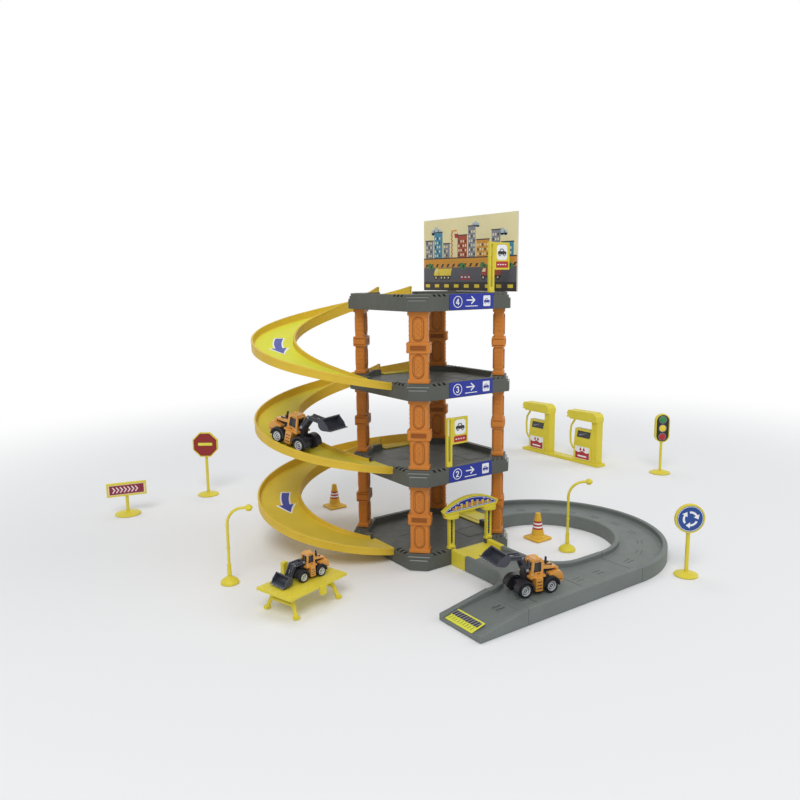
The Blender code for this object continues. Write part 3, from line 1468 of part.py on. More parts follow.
def make_loaders():
    shapes = {}
    heading = math.radians(ROAD_LOADER["heading"])
    along, across = ROAD_LOADER["offset"]
    where = (GATE_X + along, LOOP_CENTRE[1] - LOOP_RADIUS + across, ROAD_SURFACE + GAP)
    frame = loader_frame("road_loader", where, heading, 0.0, ROAD_LOADER["scale"])
    make_loader("road_loader", frame, ROAD_LOADER["arm"], ROAD_LOADER["bucket"], shapes)

    along, across = TABLE_LOADER["along"], TABLE_LOADER["across"]
    cos, sin = math.cos(TABLE_TURN), math.sin(TABLE_TURN)
    where = (
        TABLE_PLACE[0] + along * cos - across * sin,
        TABLE_PLACE[1] + along * sin + across * cos,
        TABLE_HEIGHT + GAP,
    )
    heading = TABLE_TURN + math.pi + math.radians(TABLE_LOADER["heading"])
    frame = loader_frame("table_loader", where, heading, 0.0, TABLE_LOADER["scale"])
    make_loader("table_loader", frame, TABLE_LOADER["arm"], TABLE_LOADER["bucket"], shapes)

    level = RAMP_LOADER["level"]
    turn = math.radians(RAMP_LOADER["turn"])
    radius = RAMP_RADIUS + RAMP_LOADER["shift"]
    centre = (RAMP_CENTRE[0] + radius * math.cos(turn), RAMP_CENTRE[1] + radius * math.sin(turn))
    heading = turn + math.pi / 2 + math.radians(RAMP_LOADER["yaw"])
    pitch = math.atan(STOREY / (RAMP_TURN * RAMP_RADIUS))
    height = ramp_seat(level, centre, heading, pitch)
    frame = loader_frame("ramp_loader", (*centre, height), heading, pitch)
    make_loader("ramp_loader", frame, RAMP_LOADER["arm"], RAMP_LOADER["bucket"], shapes)


clear_scene()
GARAGE = new_collection("toy_parking_garage")
CUTTERS = new_collection("cutters", hidden=True)
for deck_level in range(1, DECKS + 1):
    make_deck(deck_level)
make_columns()
make_ramps()
make_entry()
make_junction()
make_road_curve("road_curve_front", -90.0)
make_road_curve("road_curve_back", 0.0)
make_connectors()
make_arch()
make_parking_sign("parking_sign_deck", 2, DECK_SIGN_X)
make_parking_sign("parking_sign_roof", DECKS, ROOF_SIGN_X)
make_billboard()
make_free_signs()
make_lamps()
make_cones()
make_fuel_station()
make_table()
make_loaders()
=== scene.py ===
import json
import math

import bmesh
import bpy
from mathutils import Matrix, Vector


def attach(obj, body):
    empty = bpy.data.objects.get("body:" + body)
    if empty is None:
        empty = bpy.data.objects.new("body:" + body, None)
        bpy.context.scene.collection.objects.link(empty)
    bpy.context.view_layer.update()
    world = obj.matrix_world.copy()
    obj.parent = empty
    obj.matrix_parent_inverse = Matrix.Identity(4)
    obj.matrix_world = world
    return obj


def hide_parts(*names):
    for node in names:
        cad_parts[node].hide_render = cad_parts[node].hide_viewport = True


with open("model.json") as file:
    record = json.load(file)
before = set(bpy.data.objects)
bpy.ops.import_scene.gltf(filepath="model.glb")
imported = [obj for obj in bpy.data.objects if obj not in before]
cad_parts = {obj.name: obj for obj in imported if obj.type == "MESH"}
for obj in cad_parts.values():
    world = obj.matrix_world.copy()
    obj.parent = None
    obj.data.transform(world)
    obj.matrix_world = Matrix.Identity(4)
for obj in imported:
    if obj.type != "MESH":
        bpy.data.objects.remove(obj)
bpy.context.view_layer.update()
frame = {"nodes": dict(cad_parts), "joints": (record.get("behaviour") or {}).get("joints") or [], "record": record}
NODES = frame["nodes"]
JOINTS = {joint["name"]: joint for joint in frame["joints"]}
ROOT = "garage"
MM = 0.001

# Sizes taken over from the part, in millimetres
STOREY = 85.0
DECK_HALF = 66.0
DECK_TOP = 16.0
DECK_FLOOR = 10.0
DECK_CHAMFER = 13.0
RIM_MIDDLE = 63.5
# Pale strips across each deck corner: painted highlight on the corner's top edges
CORNER_HIGHLIGHT_STRIPS = ((3.4, 1.95, 3.0), (1.7, 0.1, 6.0))
BAY_LINES = (-36.0, -12.0, 12.0, 36.0)
FLOOR_SIGN = (55.7, 15.0)
COLUMN_OFFSET = 51.5
COLUMN_FOOT = 16.3
COLUMN_PANELS = ((10.3, 22.4), (46.0, 58.1))
RAMP_CENTRE = Vector((-68.0, 68.0))
RAMP_RADIUS = 71.0
RAMP_TURN = 1.5 * math.pi
RAMP_FLOOR_TOP = 11.9
LOOP_CENTRE = Vector((93.0, -86.0))
LOOP_RADIUS = 95.5
ROAD_SURFACE = 9.0
ROAD_Y = -181.5
GATE_X, GATE_HALF = 3, 20.7
ARCH_SPAN = 24.8
SIGNS = {"stop_sign": (-129.5, 323.0), "roundabout_sign": (141.5, -222.0),
         "chevron_barrier": (-241.0, 303.0), "traffic_light": (443.5, 25.5)}
CHEVRON_TURN = math.radians(-12.0)
BILLBOARD_CORNER = (62.6, 91.0, 271.3)
BILLBOARD_SIZE = (156.0, 80.0)
TABLE_PLACE, TABLE_TURN, TABLE_TOP = (-186.5, -57.0), math.radians(17.0), 21.9
LAMPS = {"street_lamp_left": (-222.0, 25.0), "street_lamp_loop": (100.0, -108.0)}
CONES = {"traffic_cone_loop": (101.0, -64.0), "traffic_cone_left": (-20.0, 173.0)}
FACE_TURN = math.radians(-35.0)
SIGN_FACE = -3.5
PUMP_FACE, PUMP_Y, PUMP_SPACING, NOZZLE_X = 396.0, 104.0, 97.0, 404.5
WHEELBASE = 28.5
WHEEL_RADIUS = 6.6
ARM_PIVOT = (8.5, 0.0, 23.0)
BUCKET_PIVOT = (21.0, 0.0, -15.0)
LOADERS = {"road_loader": (70.0, -52.0), "table_loader": (0.0, 0.0), "ramp_loader": (66.0, -52.0)}


# ---------------------------------------------------------------- materials
# Width of the paler edges, which are partly wear and partly painted highlight
WEAR_AND_HIGHLIGHT_WIDTH = 0.9 * MM
GRAIN_DEPTH = 0.2 * MM


def linear(code):
    """Linear colour from an sRGB hex code."""
    values = [int(code[i:i + 2], 16) / 255 for i in (0, 2, 4)]
    return tuple(v / 12.92 if v <= 0.04045 else ((v + 0.055) / 1.055) ** 2.4 for v in values)


def tinted(colour, factor):
    return (*(min(1.0, channel * factor) for channel in colour), 1.0)


def preset(node, **values):
    """Sets a shader node's inputs by name, with _ for a space."""
    for name, value in values.items():
        node.inputs[name.replace("_", " ")].default_value = value
    return node


def combined(tree, operation, first, second):
    """The result of a Math node on two values."""
    node = tree.nodes.new("ShaderNodeMath")
    node.operation = operation
    tree.links.new(first, node.inputs[0])
    tree.links.new(second, node.inputs[1])
    return node.outputs["Value"]


def surface(name, code, roughness, mottle=0.06, grain=0.12, grain_scale=650.0, wear=0.0,
            metallic=0.0, coat=0.0, streak=0.0, specular=0.4):
    """A moulded, painted or printed surface: cloudy colour, fine grain and paler edges, partly wear and partly
    painted highlight.
    """
    colour = linear(code)
    material = bpy.data.materials.new(name)
    material.use_nodes = True
    tree = material.node_tree
    new, link = tree.nodes.new, tree.links.new
    shader = preset(tree.nodes["Principled BSDF"], Metallic=metallic, Coat_Weight=coat,
                    Specular_IOR_Level=specular, Coat_Roughness=0.18)
    where = new("ShaderNodeTexCoord").outputs["Object"]

    def noise(scale, detail, space=where):
        node = preset(new("ShaderNodeTexNoise"), Scale=scale, Detail=detail)
        link(space, node.inputs["Vector"])
        return node.outputs["Fac"]

    def ranged(value, low, high, to_low, to_high):
        node = preset(new("ShaderNodeMapRange"), From_Min=low, From_Max=high, To_Min=to_low,
                      To_Max=to_high)
        link(value, node.inputs["Value"])
        return node.outputs["Result"]

    def mixed(share, first, second):
        node = new("ShaderNodeMix")
        node.data_type = "RGBA"
        link(share, node.inputs["Factor"])
        for socket, value in ((node.inputs["A"], first), (node.inputs["B"], second)):
            if isinstance(value, tuple):
                socket.default_value = value
            else:
                link(value, socket)
        return node.outputs["Result"]

    cloud = ranged(noise(38.0, 5.0), 0.32, 0.68, 0.0, 1.0)
    tone = mixed(cloud, tinted(colour, 1.0 - mottle), tinted(colour, 1.0 + mottle * 0.6))
    speck = ranged(noise(1500.0, 2.0), 0.62, 0.8, 0.0, 0.35)
    tone = mixed(speck, tone, tinted(colour, 1.0 - mottle * 1.8))
    if streak:
        mapping = preset(new("ShaderNodeMapping"), Scale=(260.0, 30.0, 260.0))
        link(where, mapping.inputs["Vector"])
        scratch = noise(3.0, 6.0, mapping.outputs["Vector"])
        tone = mixed(ranged(scratch, 0.6, 0.78, 0.0, streak), tone, tinted(colour, 1.5))
    # Paler edges: partly edge wear, partly painted highlight where the edges catch the light
    if wear:
        rounded_edge = preset(new("ShaderNodeBevel"), Radius=WEAR_AND_HIGHLIGHT_WIDTH)
        rounded_edge.samples = 4
        flat = new("ShaderNodeNewGeometry")
        dot = new("ShaderNodeVectorMath")
        dot.operation = "DOT_PRODUCT"
        link(rounded_edge.outputs["Normal"], dot.inputs[0])
        link(flat.outputs["Normal"], dot.inputs[1])
        edge = ranged(dot.outputs["Value"], 0.995, 0.86, 0.0, wear)
        broken = combined(tree, "MULTIPLY", edge, ranged(noise(210.0, 4.0), 0.35, 0.62, 0.25, 1.0))
        tone = mixed(broken, tone, tinted(colour, 1.9))
    link(tone, shader.inputs["Base Color"])
    link(ranged(noise(120.0, 4.0), 0.3, 0.7, roughness - 0.06, roughness + 0.07),
         shader.inputs["Roughness"])
    bump = preset(new("ShaderNodeBump"), Strength=grain, Distance=GRAIN_DEPTH)
    link(noise(grain_scale, 3.0), bump.inputs["Height"])
    link(bump.outputs["Normal"], shader.inputs["Normal"])
    return material


def plastic(name, code, roughness=0.5, **more):
    return surface(f"{name}_plastic", code, roughness, specular=0.3, **more)


def ink(name, code, roughness=0.4):
    """A printed colour: nearly even, with the faint cloud and gloss change of print on film."""
    return surface(f"print_{name}", code, roughness, mottle=0.035, grain=0.05, coat=0.15)


DECK_GREY = plastic("deck_grey", "595b55", mottle=0.08, grain=0.2, wear=0.5, streak=0.12)
# Darker grey on the moulded deck lines is painted shade on the same grey plastic
DECK_LINE_PAINTED_SHADE = plastic("deck_line_painted_shade", "3f413e", 0.55, mottle=0.08)
# Pale grey for the corner strips is painted highlight on the same grey deck plastic
DECK_PAINTED_HIGHLIGHT = surface("deck_painted_highlight_plastic", "a6a9a4", 0.45, mottle=0.05)
ROAD_GREY = plastic("road_grey", "737976", mottle=0.07, grain=0.2, wear=0.4, streak=0.1)
# Darker grey on the moulded road lines is painted shade on the same grey plastic
ROAD_LINE_PAINTED_SHADE = plastic("road_line_painted_shade", "4c514f", 0.55)
ORANGE = plastic("column_orange", "cf8032", 0.45, wear=0.3)
# Darker orange in the columns' grooves and recesses is painted shade on the same orange plastic
COLUMN_PAINTED_SHADE = plastic("column_painted_shade", "98541a", mottle=0.08)
# The ramps are one yellow: the lime, yellow and gold floor tints are painted light, and the darker wall yellow is
# painted shade
RAMP_FLOOR_LIME_PAINTED_LIGHT = surface("ramp_floor_lime_painted_light_plastic", "dede3a", 0.5, mottle=0.04, specular=0.2)
RAMP_FLOOR_YELLOW_PAINTED_LIGHT = surface("ramp_floor_yellow_painted_light_plastic", "dccc3c", 0.5, mottle=0.05, specular=0.2)
RAMP_FLOOR_GOLD_PAINTED_LIGHT = surface("ramp_floor_gold_painted_light_plastic", "dcc23e", 0.5, mottle=0.05, specular=0.2)
YELLOW_PAINTED_SHADE = plastic("yellow_painted_shade", "ddb93a", 0.42, mottle=0.05, wear=0.35)
YELLOW = plastic("accessory_yellow", "e0cf40", 0.42, mottle=0.05, wear=0.25)
CONE_YELLOW = plastic("cone_yellow", "dfb038", 0.42, mottle=0.05, wear=0.25)
LOADER_PAINT = surface("loader_orange_enamel", "dd9a42", 0.3, mottle=0.05, grain=0.08, wear=0.35,
                       coat=0.4)
BLACK = surface("loader_black_plastic", "26262c", 0.42, mottle=0.12, grain=0.2, wear=0.35)
ARM_GREY = surface("loader_arm_plastic", "3f414a", 0.42, mottle=0.1, grain=0.2, wear=0.4)
TYRE = surface("tyre_rubber", "1e1e23", 0.62, mottle=0.15, grain=0.35, grain_scale=1100.0, wear=0.3)
SILVER = surface("hub_silver", "e6e8ea", 0.3, mottle=0.04, grain=0.05, metallic=0.3)
STEEL = surface("pin_steel", "9a9da3", 0.32, mottle=0.06, grain=0.1, metallic=0.6)
GLASS = surface("window_dark_gloss", "1d1a1c", 0.12, mottle=0.2, grain=0.02, coat=0.5)
CARD = surface("card_board", "efe3b8", 0.62, mottle=0.03, grain=0.25, grain_scale=900.0)
CARD_BACK = surface("card_back", "d8d2c2", 0.7, mottle=0.05, grain=0.4, grain_scale=700.0)

BLUE = ink("blue", "142a98")
DEEP_BLUE = ink("deep_blue", "1d4690")
WHITE = ink("white", "f0f1f2")
RED = ink("red", "ae2226")
DEEP_RED = ink("deep_red", "8f1f1e")
WINE = ink("wine", "86263a")
ROSE = ink("rose", "f3d9de")
DARK = ink("dark", "1d1a1a")
GREEN = ink("green", "338848")
AMBER = ink("amber", "efd340")
LEMON = ink("lemon", "e4e24c")
SKY = ink("sky", "efe3b0", 0.5)
CLOUD = ink("cloud", "b9c6c8", 0.5)
WALL = ink("wall", "d8962a", 0.5)
ASPHALT = ink("asphalt", "55545c", 0.5)
KERB_DARK = ink("kerb", "2c2420", 0.5)
CONCRETE = ink("concrete", "868892", 0.5)
BRICK = ink("brick", "a8482c", 0.5)
LEAF = ink("leaf", "3e7a44", 0.5)
TEAL = ink("teal", "3f87a6", 0.5)


# ---------------------------------------------------------------- mesh building
def at(x=0.0, y=0.0, z=0.0, turn=0.0):
    return Matrix.Translation(Vector((x, y, z)) * MM) @ Matrix.Rotation(turn, 4, "Z")


def facing(origin, right, up):
    """A flat drawing's frame: u to the right, v up, and the third axis out of the surface."""
    right, up = Vector(right).normalized(), Vector(up).normalized()
    matrix = Matrix((right, up, right.cross(up))).transposed().to_4x4()
    matrix.translation = Vector(origin) * MM
    return matrix


def upright(x, y, z, side=1):
    """A drawing's frame on an upright face that looks to -Y, or to +Y where side is -1."""
    return facing((x, y, z), (side, 0, 0), (0, 0, 1))


def sideways(x, y, z, side):
    """A turned piece's frame with its axis out to the side."""
    return at(x, y, z) @ Matrix.Rotation(-side * math.pi / 2, 4, "X")


TO_Y = Matrix(((1, 0, 0, 0), (0, 0, 1, 0), (0, -1, 0, 0), (0, 0, 0, 1)))
WHOLE = Matrix.Identity(4)


def arc(centre, radius, start, end, steps):
    angles = [math.radians(start + (end - start) * i / steps) for i in range(steps + 1)]
    return [(centre[0] + radius * math.cos(a), centre[1] + radius * math.sin(a)) for a in angles]


def unit(angle):
    """The flat direction at an angle in radians."""
    return Vector((math.cos(angle), math.sin(angle)))


def inset(outline, depth):
    """A convex counterclockwise outline moved in by a depth, or out where that is negative."""
    count = len(outline)
    lines = []
    for i in range(count):
        a, b = Vector(outline[i]), Vector(outline[(i + 1) % count])
        way = (b - a).normalized()
        lines.append((a + Vector((-way.y, way.x)) * depth, way))
    moved = []
    for i in range(count):
        (p, d), (q, e) = lines[i - 1], lines[i]
        cross = d.x * e.y - d.y * e.x
        if abs(cross) < 1e-6:
            moved.append(tuple(q))
        else:
            t = ((q.x - p.x) * e.y - (q.y - p.y) * e.x) / cross
            moved.append(tuple(p + d * t))
    return moved


def rectangle(low, high):
    return [(low[0], low[1]), (high[0], low[1]), (high[0], high[1]), (low[0], high[1])]


def rounded(low, high, radius, steps=4):
    """A rectangle with round corners, counterclockwise."""
    (x0, y0), (x1, y1) = low, high
    outline = []
    for x, y, start in ((x1, y1, 0), (x0, y1, 90), (x0, y0, 180), (x1, y0, 270)):
        inner = (x + (-radius if x == x1 else radius), y + (-radius if y == y1 else radius))
        outline += arc(inner, radius, start, start + 90, steps)
    return outline


class Shape:
    """Solids in several finishes, gathered into one mesh. Sizes are in millimetres."""

    def __init__(self, place=WHOLE):
        self.bm = bmesh.new()
        self.finishes = []
        self.place = place

    def index(self, finish):
        if finish not in self.finishes:
            self.finishes.append(finish)
        return self.finishes.index(finish)

    def point(self, x, y, z, place=None):
        return self.bm.verts.new(self.place @ (place or WHOLE) @ (Vector((x, y, z)) * MM))

    def face(self, corners, finish, step=0):
        """One face. finish is one, or a list with one for each step of a section."""
        several = isinstance(finish, list)
        self.bm.faces.new(corners).material_index = self.index(finish[step] if several else finish)

    def skin(self, rings, finish, closed=False):
        """Faces between rings of vertices, with caps on both ends where they are open."""
        pairs = list(zip(rings, rings[1:]))
        if closed:
            pairs.append((rings[-1], rings[0]))
        for first, second in pairs:
            for i in range(len(first)):
                j = (i + 1) % len(first)
                self.face((first[i], first[j], second[j], second[i]), finish, i)
        if not closed:
            self.face(rings[0][::-1], finish)
            self.face(rings[-1], finish)

    def prism(self, outline, low, high, finish, place=None):
        rings = [[self.point(u, v, w, place) for u, v in outline] for w in (low, high)]
        self.skin(rings, finish)

    def box(self, low, high, finish, place=None):
        self.prism(rectangle(low, high), low[2], high[2], finish, place)

    def ring(self, outer, inner, low, high, finish, place=None):
        """A flat band between two outlines with the same number of points."""
        rings = []
        for outline, w in ((outer, low), (outer, high), (inner, high), (inner, low)):
            rings.append([self.point(u, v, w, place) for u, v in outline])
        self.skin(rings, finish, closed=True)

    def border(self, outline, width, low, high, finish, place=None):
        """A flat band of even width inside an outline."""
        self.ring(outline, inset(outline, width), low, high, finish, place)

    def arch(self, outer, inner, near, far, finish):
        """A bent bar between two open lines in the XZ plane, from one Y to another."""
        rings = []
        for (u, v), (s, t) in zip(outer, inner):
            corners = ((u, near, v), (u, far, v), (s, far, t), (s, near, t))
            rings.append([self.point(*corner) for corner in corners])
        self.skin(rings, finish)

    def lathe(self, profile, finish, place=None, sides=40):
        """Turns (radius, height) points about Z, with the profile closed on itself."""
        rings = []
        for k in range(sides):
            way = unit(2 * math.pi * k / sides)
            rings.append([self.point(r * way.x, r * way.y, z, place) for r, z in profile])
        for first, second in zip(rings, rings[1:] + rings[:1]):
            for i in range(len(profile) - 1):
                corners = [first[i], second[i], second[i + 1], first[i + 1]]
                if profile[i][0] < 1e-6:
                    corners = [first[i], second[i + 1], first[i + 1]]
                elif profile[i + 1][0] < 1e-6:
                    corners = [first[i], second[i], first[i + 1]]
                self.face(corners, finish, i)

    def tube(self, points, radius, finish, place=None, sides=14, radii=None):
        """A round bar along points, with its cross-sections carried along without twist."""
        points = [Vector(p) for p in points]
        rings = []
        side = None
        for i, point in enumerate(points):
            way = (points[min(i + 1, len(points) - 1)] - points[max(i - 1, 0)]).normalized()
            if side is None:
                side = way.orthogonal().normalized()
            side = (side - way * side.dot(way)).normalized()
            up = way.cross(side)
            size = radii[i] if radii else radius
            ways = [unit(2 * math.pi * k / sides) for k in range(sides)]
            ring = [point + (side * w.x + up * w.y) * size for w in ways]
            rings.append([self.point(*p, place) for p in ring])
        self.skin(rings, finish)

    def mesh(self, name, bevel=0.0, segments=2, smooth=40.0):
        bm = self.bm
        bmesh.ops.remove_doubles(bm, verts=bm.verts, dist=1e-7)
        bmesh.ops.recalc_face_normals(bm, faces=bm.faces)
        if bevel:
            round_edges(bm, bevel, segments, 50.0)
        mesh = bpy.data.meshes.new(name)
        bm.to_mesh(mesh)
        bm.free()
        for finish in self.finishes:
            mesh.materials.append(finish)
        mesh.shade_smooth()
        mesh.set_sharp_from_angle(angle=math.radians(smooth))
        return mesh

    def show(self, name, body=ROOT, slot=None, replaces=(), **options):
        return show(self.mesh(name, **options), name, body, slot=slot, replaces=replaces)


def round_edges(bm, width, segments, angle):
    edges = [
        edge for edge in bm.edges
        if len(edge.link_faces) == 2 and edge.calc_face_angle(0.0) > math.radians(angle)
    ]
    bmesh.ops.bevel(bm, geom=edges, offset=width * MM, segments=segments, profile=0.5,
                    affect="EDGES", clamp_overlap=False)


def show(mesh, name, body=ROOT, place=WHOLE, slot=None, replaces=()):
    item = bpy.data.objects.new(name, mesh)
    bpy.context.scene.collection.objects.link(item)
    item.matrix_world = place
    weighted = item.modifiers.new("even_faces", "WEIGHTED_NORMAL")
    weighted.keep_sharp = True
    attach(item, body)
    if replaces:
        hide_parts(*replaces)
    return item


BODIES = frame["record"]["behaviour"]["bodies"]
BODY_OF = {node: body for body, nodes in BODIES.items() for node in nodes}


def sound(mesh):
    """True where the triangles of each facet cover it just once."""
    mesh.calc_loop_triangles()
    covered = [0.0] * len(mesh.polygons)
    for triangle in mesh.loop_triangles:
        covered[triangle.polygon_index] += triangle.area
    slack = 0.3 * MM * MM
    return all(area < 1.005 * facet.area + slack for area, facet in zip(covered, mesh.polygons))


def rounded_copy(node, width, segments, angle):
    """The node's mesh with its facets merged and its edges rounded, kept inside its own box."""
    bm = bmesh.new()
    bm.from_mesh(NODES[node].data)
    bmesh.ops.remove_doubles(bm, verts=bm.verts, dist=2e-6)
    bmesh.ops.dissolve_limit(bm, angle_limit=math.radians(0.8), verts=bm.verts, edges=bm.edges)
    low = [min(v.co[k] for v in bm.verts) for k in range(3)]
    high = [max(v.co[k] for v in bm.verts) for k in range(3)]
    if width:
        round_edges(bm, width, segments, angle)
    for v in bm.verts:
        v.co = [min(max(v.co[k], low[k]), high[k]) for k in range(3)]
    mesh = bpy.data.meshes.new(f"{node}_form")
    bm.to_mesh(mesh)
    bm.free()
    return mesh


def refined(node, finish, width, slot, segments=2, angle=32.0, smooth=40.0):
    """A rounded copy of the node in its place, with the widest rounding that its facets allow."""
    for share in (1.0, 0.7, 0.45, 0.3, 0.15, 0.0):
        mesh = rounded_copy(node, width * share, segments, angle)
        if sound(mesh):
            break
    mesh.materials.clear()
    mesh.materials.append(finish)
    mesh.polygons.foreach_set("material_index", [0] * len(mesh.polygons))
    mesh.shade_smooth()
    mesh.set_sharp_from_angle(angle=math.radians(smooth))
    return show(mesh, f"{node}_form", BODY_OF[node], slot=slot, replaces=(node,))


# ---------------------------------------------------------------- drawing on flat faces
class Print(Shape):
    """Coloured shapes on a flat face. Each layer stands a little prouder than the one below."""

    STEP = 0.07
    PROUD = 0.12

    def show(self, name, slot="sticker"):
        return super().show(name, slot=slot)

    def flat(self, outline, finish, layer=0):
        self.prism(outline, -0.02, self.PROUD + self.STEP * layer, finish)

    def disc(self, centre, radius, finish, layer=0, sides=40):
        self.flat(arc(centre, radius, 0, 360 - 360 / sides, sides - 1), finish, layer)

    def band(self, centre, outer, inner, finish, layer=0, start=0.0, end=360.0, steps=40):
        outline = arc(centre, outer, start, end, steps)
        if end - start >= 360:
            self.ring(outline[:-1], arc(centre, inner, start, end, steps)[:-1], -0.02,
                      self.PROUD + self.STEP * layer, finish)
        else:
            self.flat(outline + arc(centre, inner, end, start, steps), finish, layer)

    def rect(self, low, high, finish, layer=0):
        self.flat(rectangle(low, high), finish, layer)

    def stroke(self, points, width, finish, layer=0):
        """A line of even width through points, as overlapping bars that rise by a hair each."""
        points = [Vector(p) for p in points]
        height = self.PROUD + self.STEP * layer
        for i, (a, b) in enumerate(zip(points, points[1:])):
            way = (b - a).normalized()
            side = Vector((-way.y, way.x)) * (width / 2)
            reach = way * (width * 0.22)
            bar = [a - reach - side, b + reach - side, b + reach + side, a - reach + side]
            self.prism([tuple(p) for p in bar], -0.02, height + 0.002 * i, finish)

    def car(self, centre, size, finish, ground, layer=0):
        """A plain small car seen from the side: body, cabin with a window, two wheels."""
        x, y = centre
        s = size
        body = [(-0.5, -0.18), (0.5, -0.18), (0.5, 0.02), (0.44, 0.1), (0.26, 0.13), (0.12, 0.34),
                (-0.22, 0.34), (-0.34, 0.12), (-0.5, 0.08)]
        self.flat([(x + u * s, y + v * s) for u, v in body], finish, layer)
        window = [(-0.22, 0.13), (0.14, 0.13), (0.07, 0.26), (-0.17, 0.26)]
        self.flat([(x + u * s, y + v * s) for u, v in window], ground, layer + 1)
        for u in (-0.27, 0.27):
            self.disc((x + u * s, y - 0.19 * s), 0.14 * s, finish, layer + 1, 20)
            self.disc((x + u * s, y - 0.19 * s), 0.06 * s, ground, layer + 2, 16)


def digit_strokes(number):
    """The strokes of a plain figure, in a cell 1 wide and 1.5 high."""
    if number == 4:
        return [[(0.66, 0.0), (0.66, 1.5), (0.0, 0.5), (0.0, 0.42), (1.0, 0.42)]]
    if number == 3:
        return [arc((0.42, 1.1), 0.38, 150, -60, 10), arc((0.42, 0.42), 0.42, 75, -150, 12)]
    return [arc((0.45, 1.05), 0.42, 165, -20, 9) + [(0.05, 0.06), (0.95, 0.06)]]


# ---------------------------------------------------------------- tower
def deck_base(level):
    return (level - 1) * STOREY


def dress_deck(level):
    node = f"deck_{level}"
    refined(node, DECK_GREY, 0.4, "deck_grey")
    base = deck_base(level)
    shape = Shape()
    top = base + DECK_TOP
    face = (2 * DECK_HALF - DECK_CHAMFER) / math.sqrt(2)
    chord = DECK_CHAMFER / math.sqrt(2)
    for sx, sy in ((-1, -1), (1, -1), (1, 1), (-1, 1)):
        turn = math.atan2(sy, sx)
        # Pale grey strips at the corner: painted highlight
        for near, far, drop in CORNER_HIGHLIGHT_STRIPS:
            half = chord + far - 0.5
            shape.box((face - near, -half, -0.1), (face - far, half, 0.3), DECK_PAINTED_HIGHLIGHT,
                      at(0, 0, top - drop, turn))
    floor = base + DECK_FLOOR
    # Moulded bay lines and dashes, coloured darker as painted shade
    for y in BAY_LINES:
        if level == 1 and y > 0:
            continue
        shape.box((26.0, y - 0.35, -0.1), (56.0, y + 0.35, 0.22), DECK_LINE_PAINTED_SHADE, at(0, 0, floor))
    shape.box((25.3, -36.35, -0.1), (26.0, 36.35 if level > 1 else 12.0, 0.22), DECK_LINE_PAINTED_SHADE,
              at(0, 0, floor))
    dashes = ((-30, -20, 14, 0), (-30, 10, 14, 0), (-6, -44, 12, 90), (-6, -8, 12, 90),
              (-6, 26, 12, 90))
    for x, y, length, turn in dashes:
        shape.box((-length / 2, -0.35, -0.1), (length / 2, 0.35, 0.2), DECK_LINE_PAINTED_SHADE,
                  at(x, y, floor, math.radians(turn)))
    shape.show(f"{node}_moulded_lines", slot="deck_grey", bevel=0.06, segments=1)


def floor_sign(level):
    plate = Print(upright(-26.0, -DECK_HALF, deck_base(level) + 0.7))
    plate.prism(rounded((0, 0), FLOOR_SIGN, 0.8, 3), -0.02, 0.5, BLUE)
    plate.place = plate.place @ Matrix.Translation((0, 0, 0.45 * MM))
    plate.band((10.0, 7.5), 5.6, 4.9, WHITE, 1)
    for stroke in digit_strokes(level):
        plate.stroke([(8.2 + u * 3.6, 4.7 + v * 3.7) for u, v in stroke], 1.0, WHITE, 1)
    plate.rect((21.0, 8.2), (30.5, 9.4), WHITE, 1)
    plate.stroke([(27.2, 12.2), (31.2, 8.8), (27.2, 5.4)], 1.25, WHITE, 2)
    plate.rect((19.5, 2.6), (35.0, 3.4), WHITE, 1)
    plate.flat(rounded((42.5, 2.4), (51.5, 12.8), 0.9, 3), WHITE, 1)
    plate.car((47.0, 7.4), 7.4, BLUE, WHITE, 2)
    plate.show(f"floor_sign_{level}")


def column_detail():
    """Raised frames and ribs that every column carries, on the column's own foot, with painted shade in darker
    orange in their grooves and recesses.
    """
    shape = Shape()
    for side in (1, -1):
        face = upright(0, -side * 5.0, 0, side)
        for low, high in COLUMN_PANELS:
            def stadium(radius):
                return arc((0.0, high), radius, 0, 180, 12) + arc((0.0, low), radius, 180, 360, 12)

            # Darker orange groove round each panel: painted shade
            shape.ring(stadium(5.75), stadium(5.0), -0.1, 0.14, COLUMN_PAINTED_SHADE, face)
            shape.ring(stadium(4.6), stadium(3.95), 0.5, 1.0, ORANGE, face)
            # Darker orange inside the raised ring: painted shade
            shape.ring(stadium(3.95), stadium(3.5), 0.5, 0.76, COLUMN_PAINTED_SHADE, face)
            bars = 3
            pitch = (high - low + 2.6) / bars
            for i in range(bars):
                z = low - 1.3 + i * pitch
                for a, b in (((-2.3, z), (2.3, z + pitch)), ((2.3, z), (-2.3, z + pitch))):
                    a, b = Vector(a), Vector(b)
                    way = (b - a).normalized() * 0.28
                    side_way = Vector((-way.y, way.x))
                    bar = [a - side_way, b - side_way, b + side_way, a + side_way]
                    shape.prism(bar, 0.5, 0.95, ORANGE, face)
        collar = upright(0, -side * 6.8, 34.2, side)
        outer = rounded((-8.2, -3.0), (8.2, 3.0), 0.8, 2)
        shape.border(outer, 0.7, -0.1, 0.4, ORANGE, collar)
        # The collar's darker recess is painted shade
        shape.prism(inset(outer, 0.75), -0.1, 0.12, COLUMN_PAINTED_SHADE, collar)
        rim = facing((side * 9.25, 0, 0), (0, side, 0), (0, 0, 1))
        z = 6.0
        while z < 63.0:
            if not 26.0 < z < 42.0:
                shape.box((-3.4, z, -0.1), (3.4, z + 0.9, 0.35), ORANGE, rim)
            z += 4.4
        for z in (30.5, 36.9):
            # Darker orange bars at the collar's edges on the narrow sides: painted shade
            shape.box((-5.2, z, 2.15), (5.2, z + 0.9, 2.5), COLUMN_PAINTED_SHADE, rim)
    return shape.mesh("column_detail", bevel=0.1, segments=1)


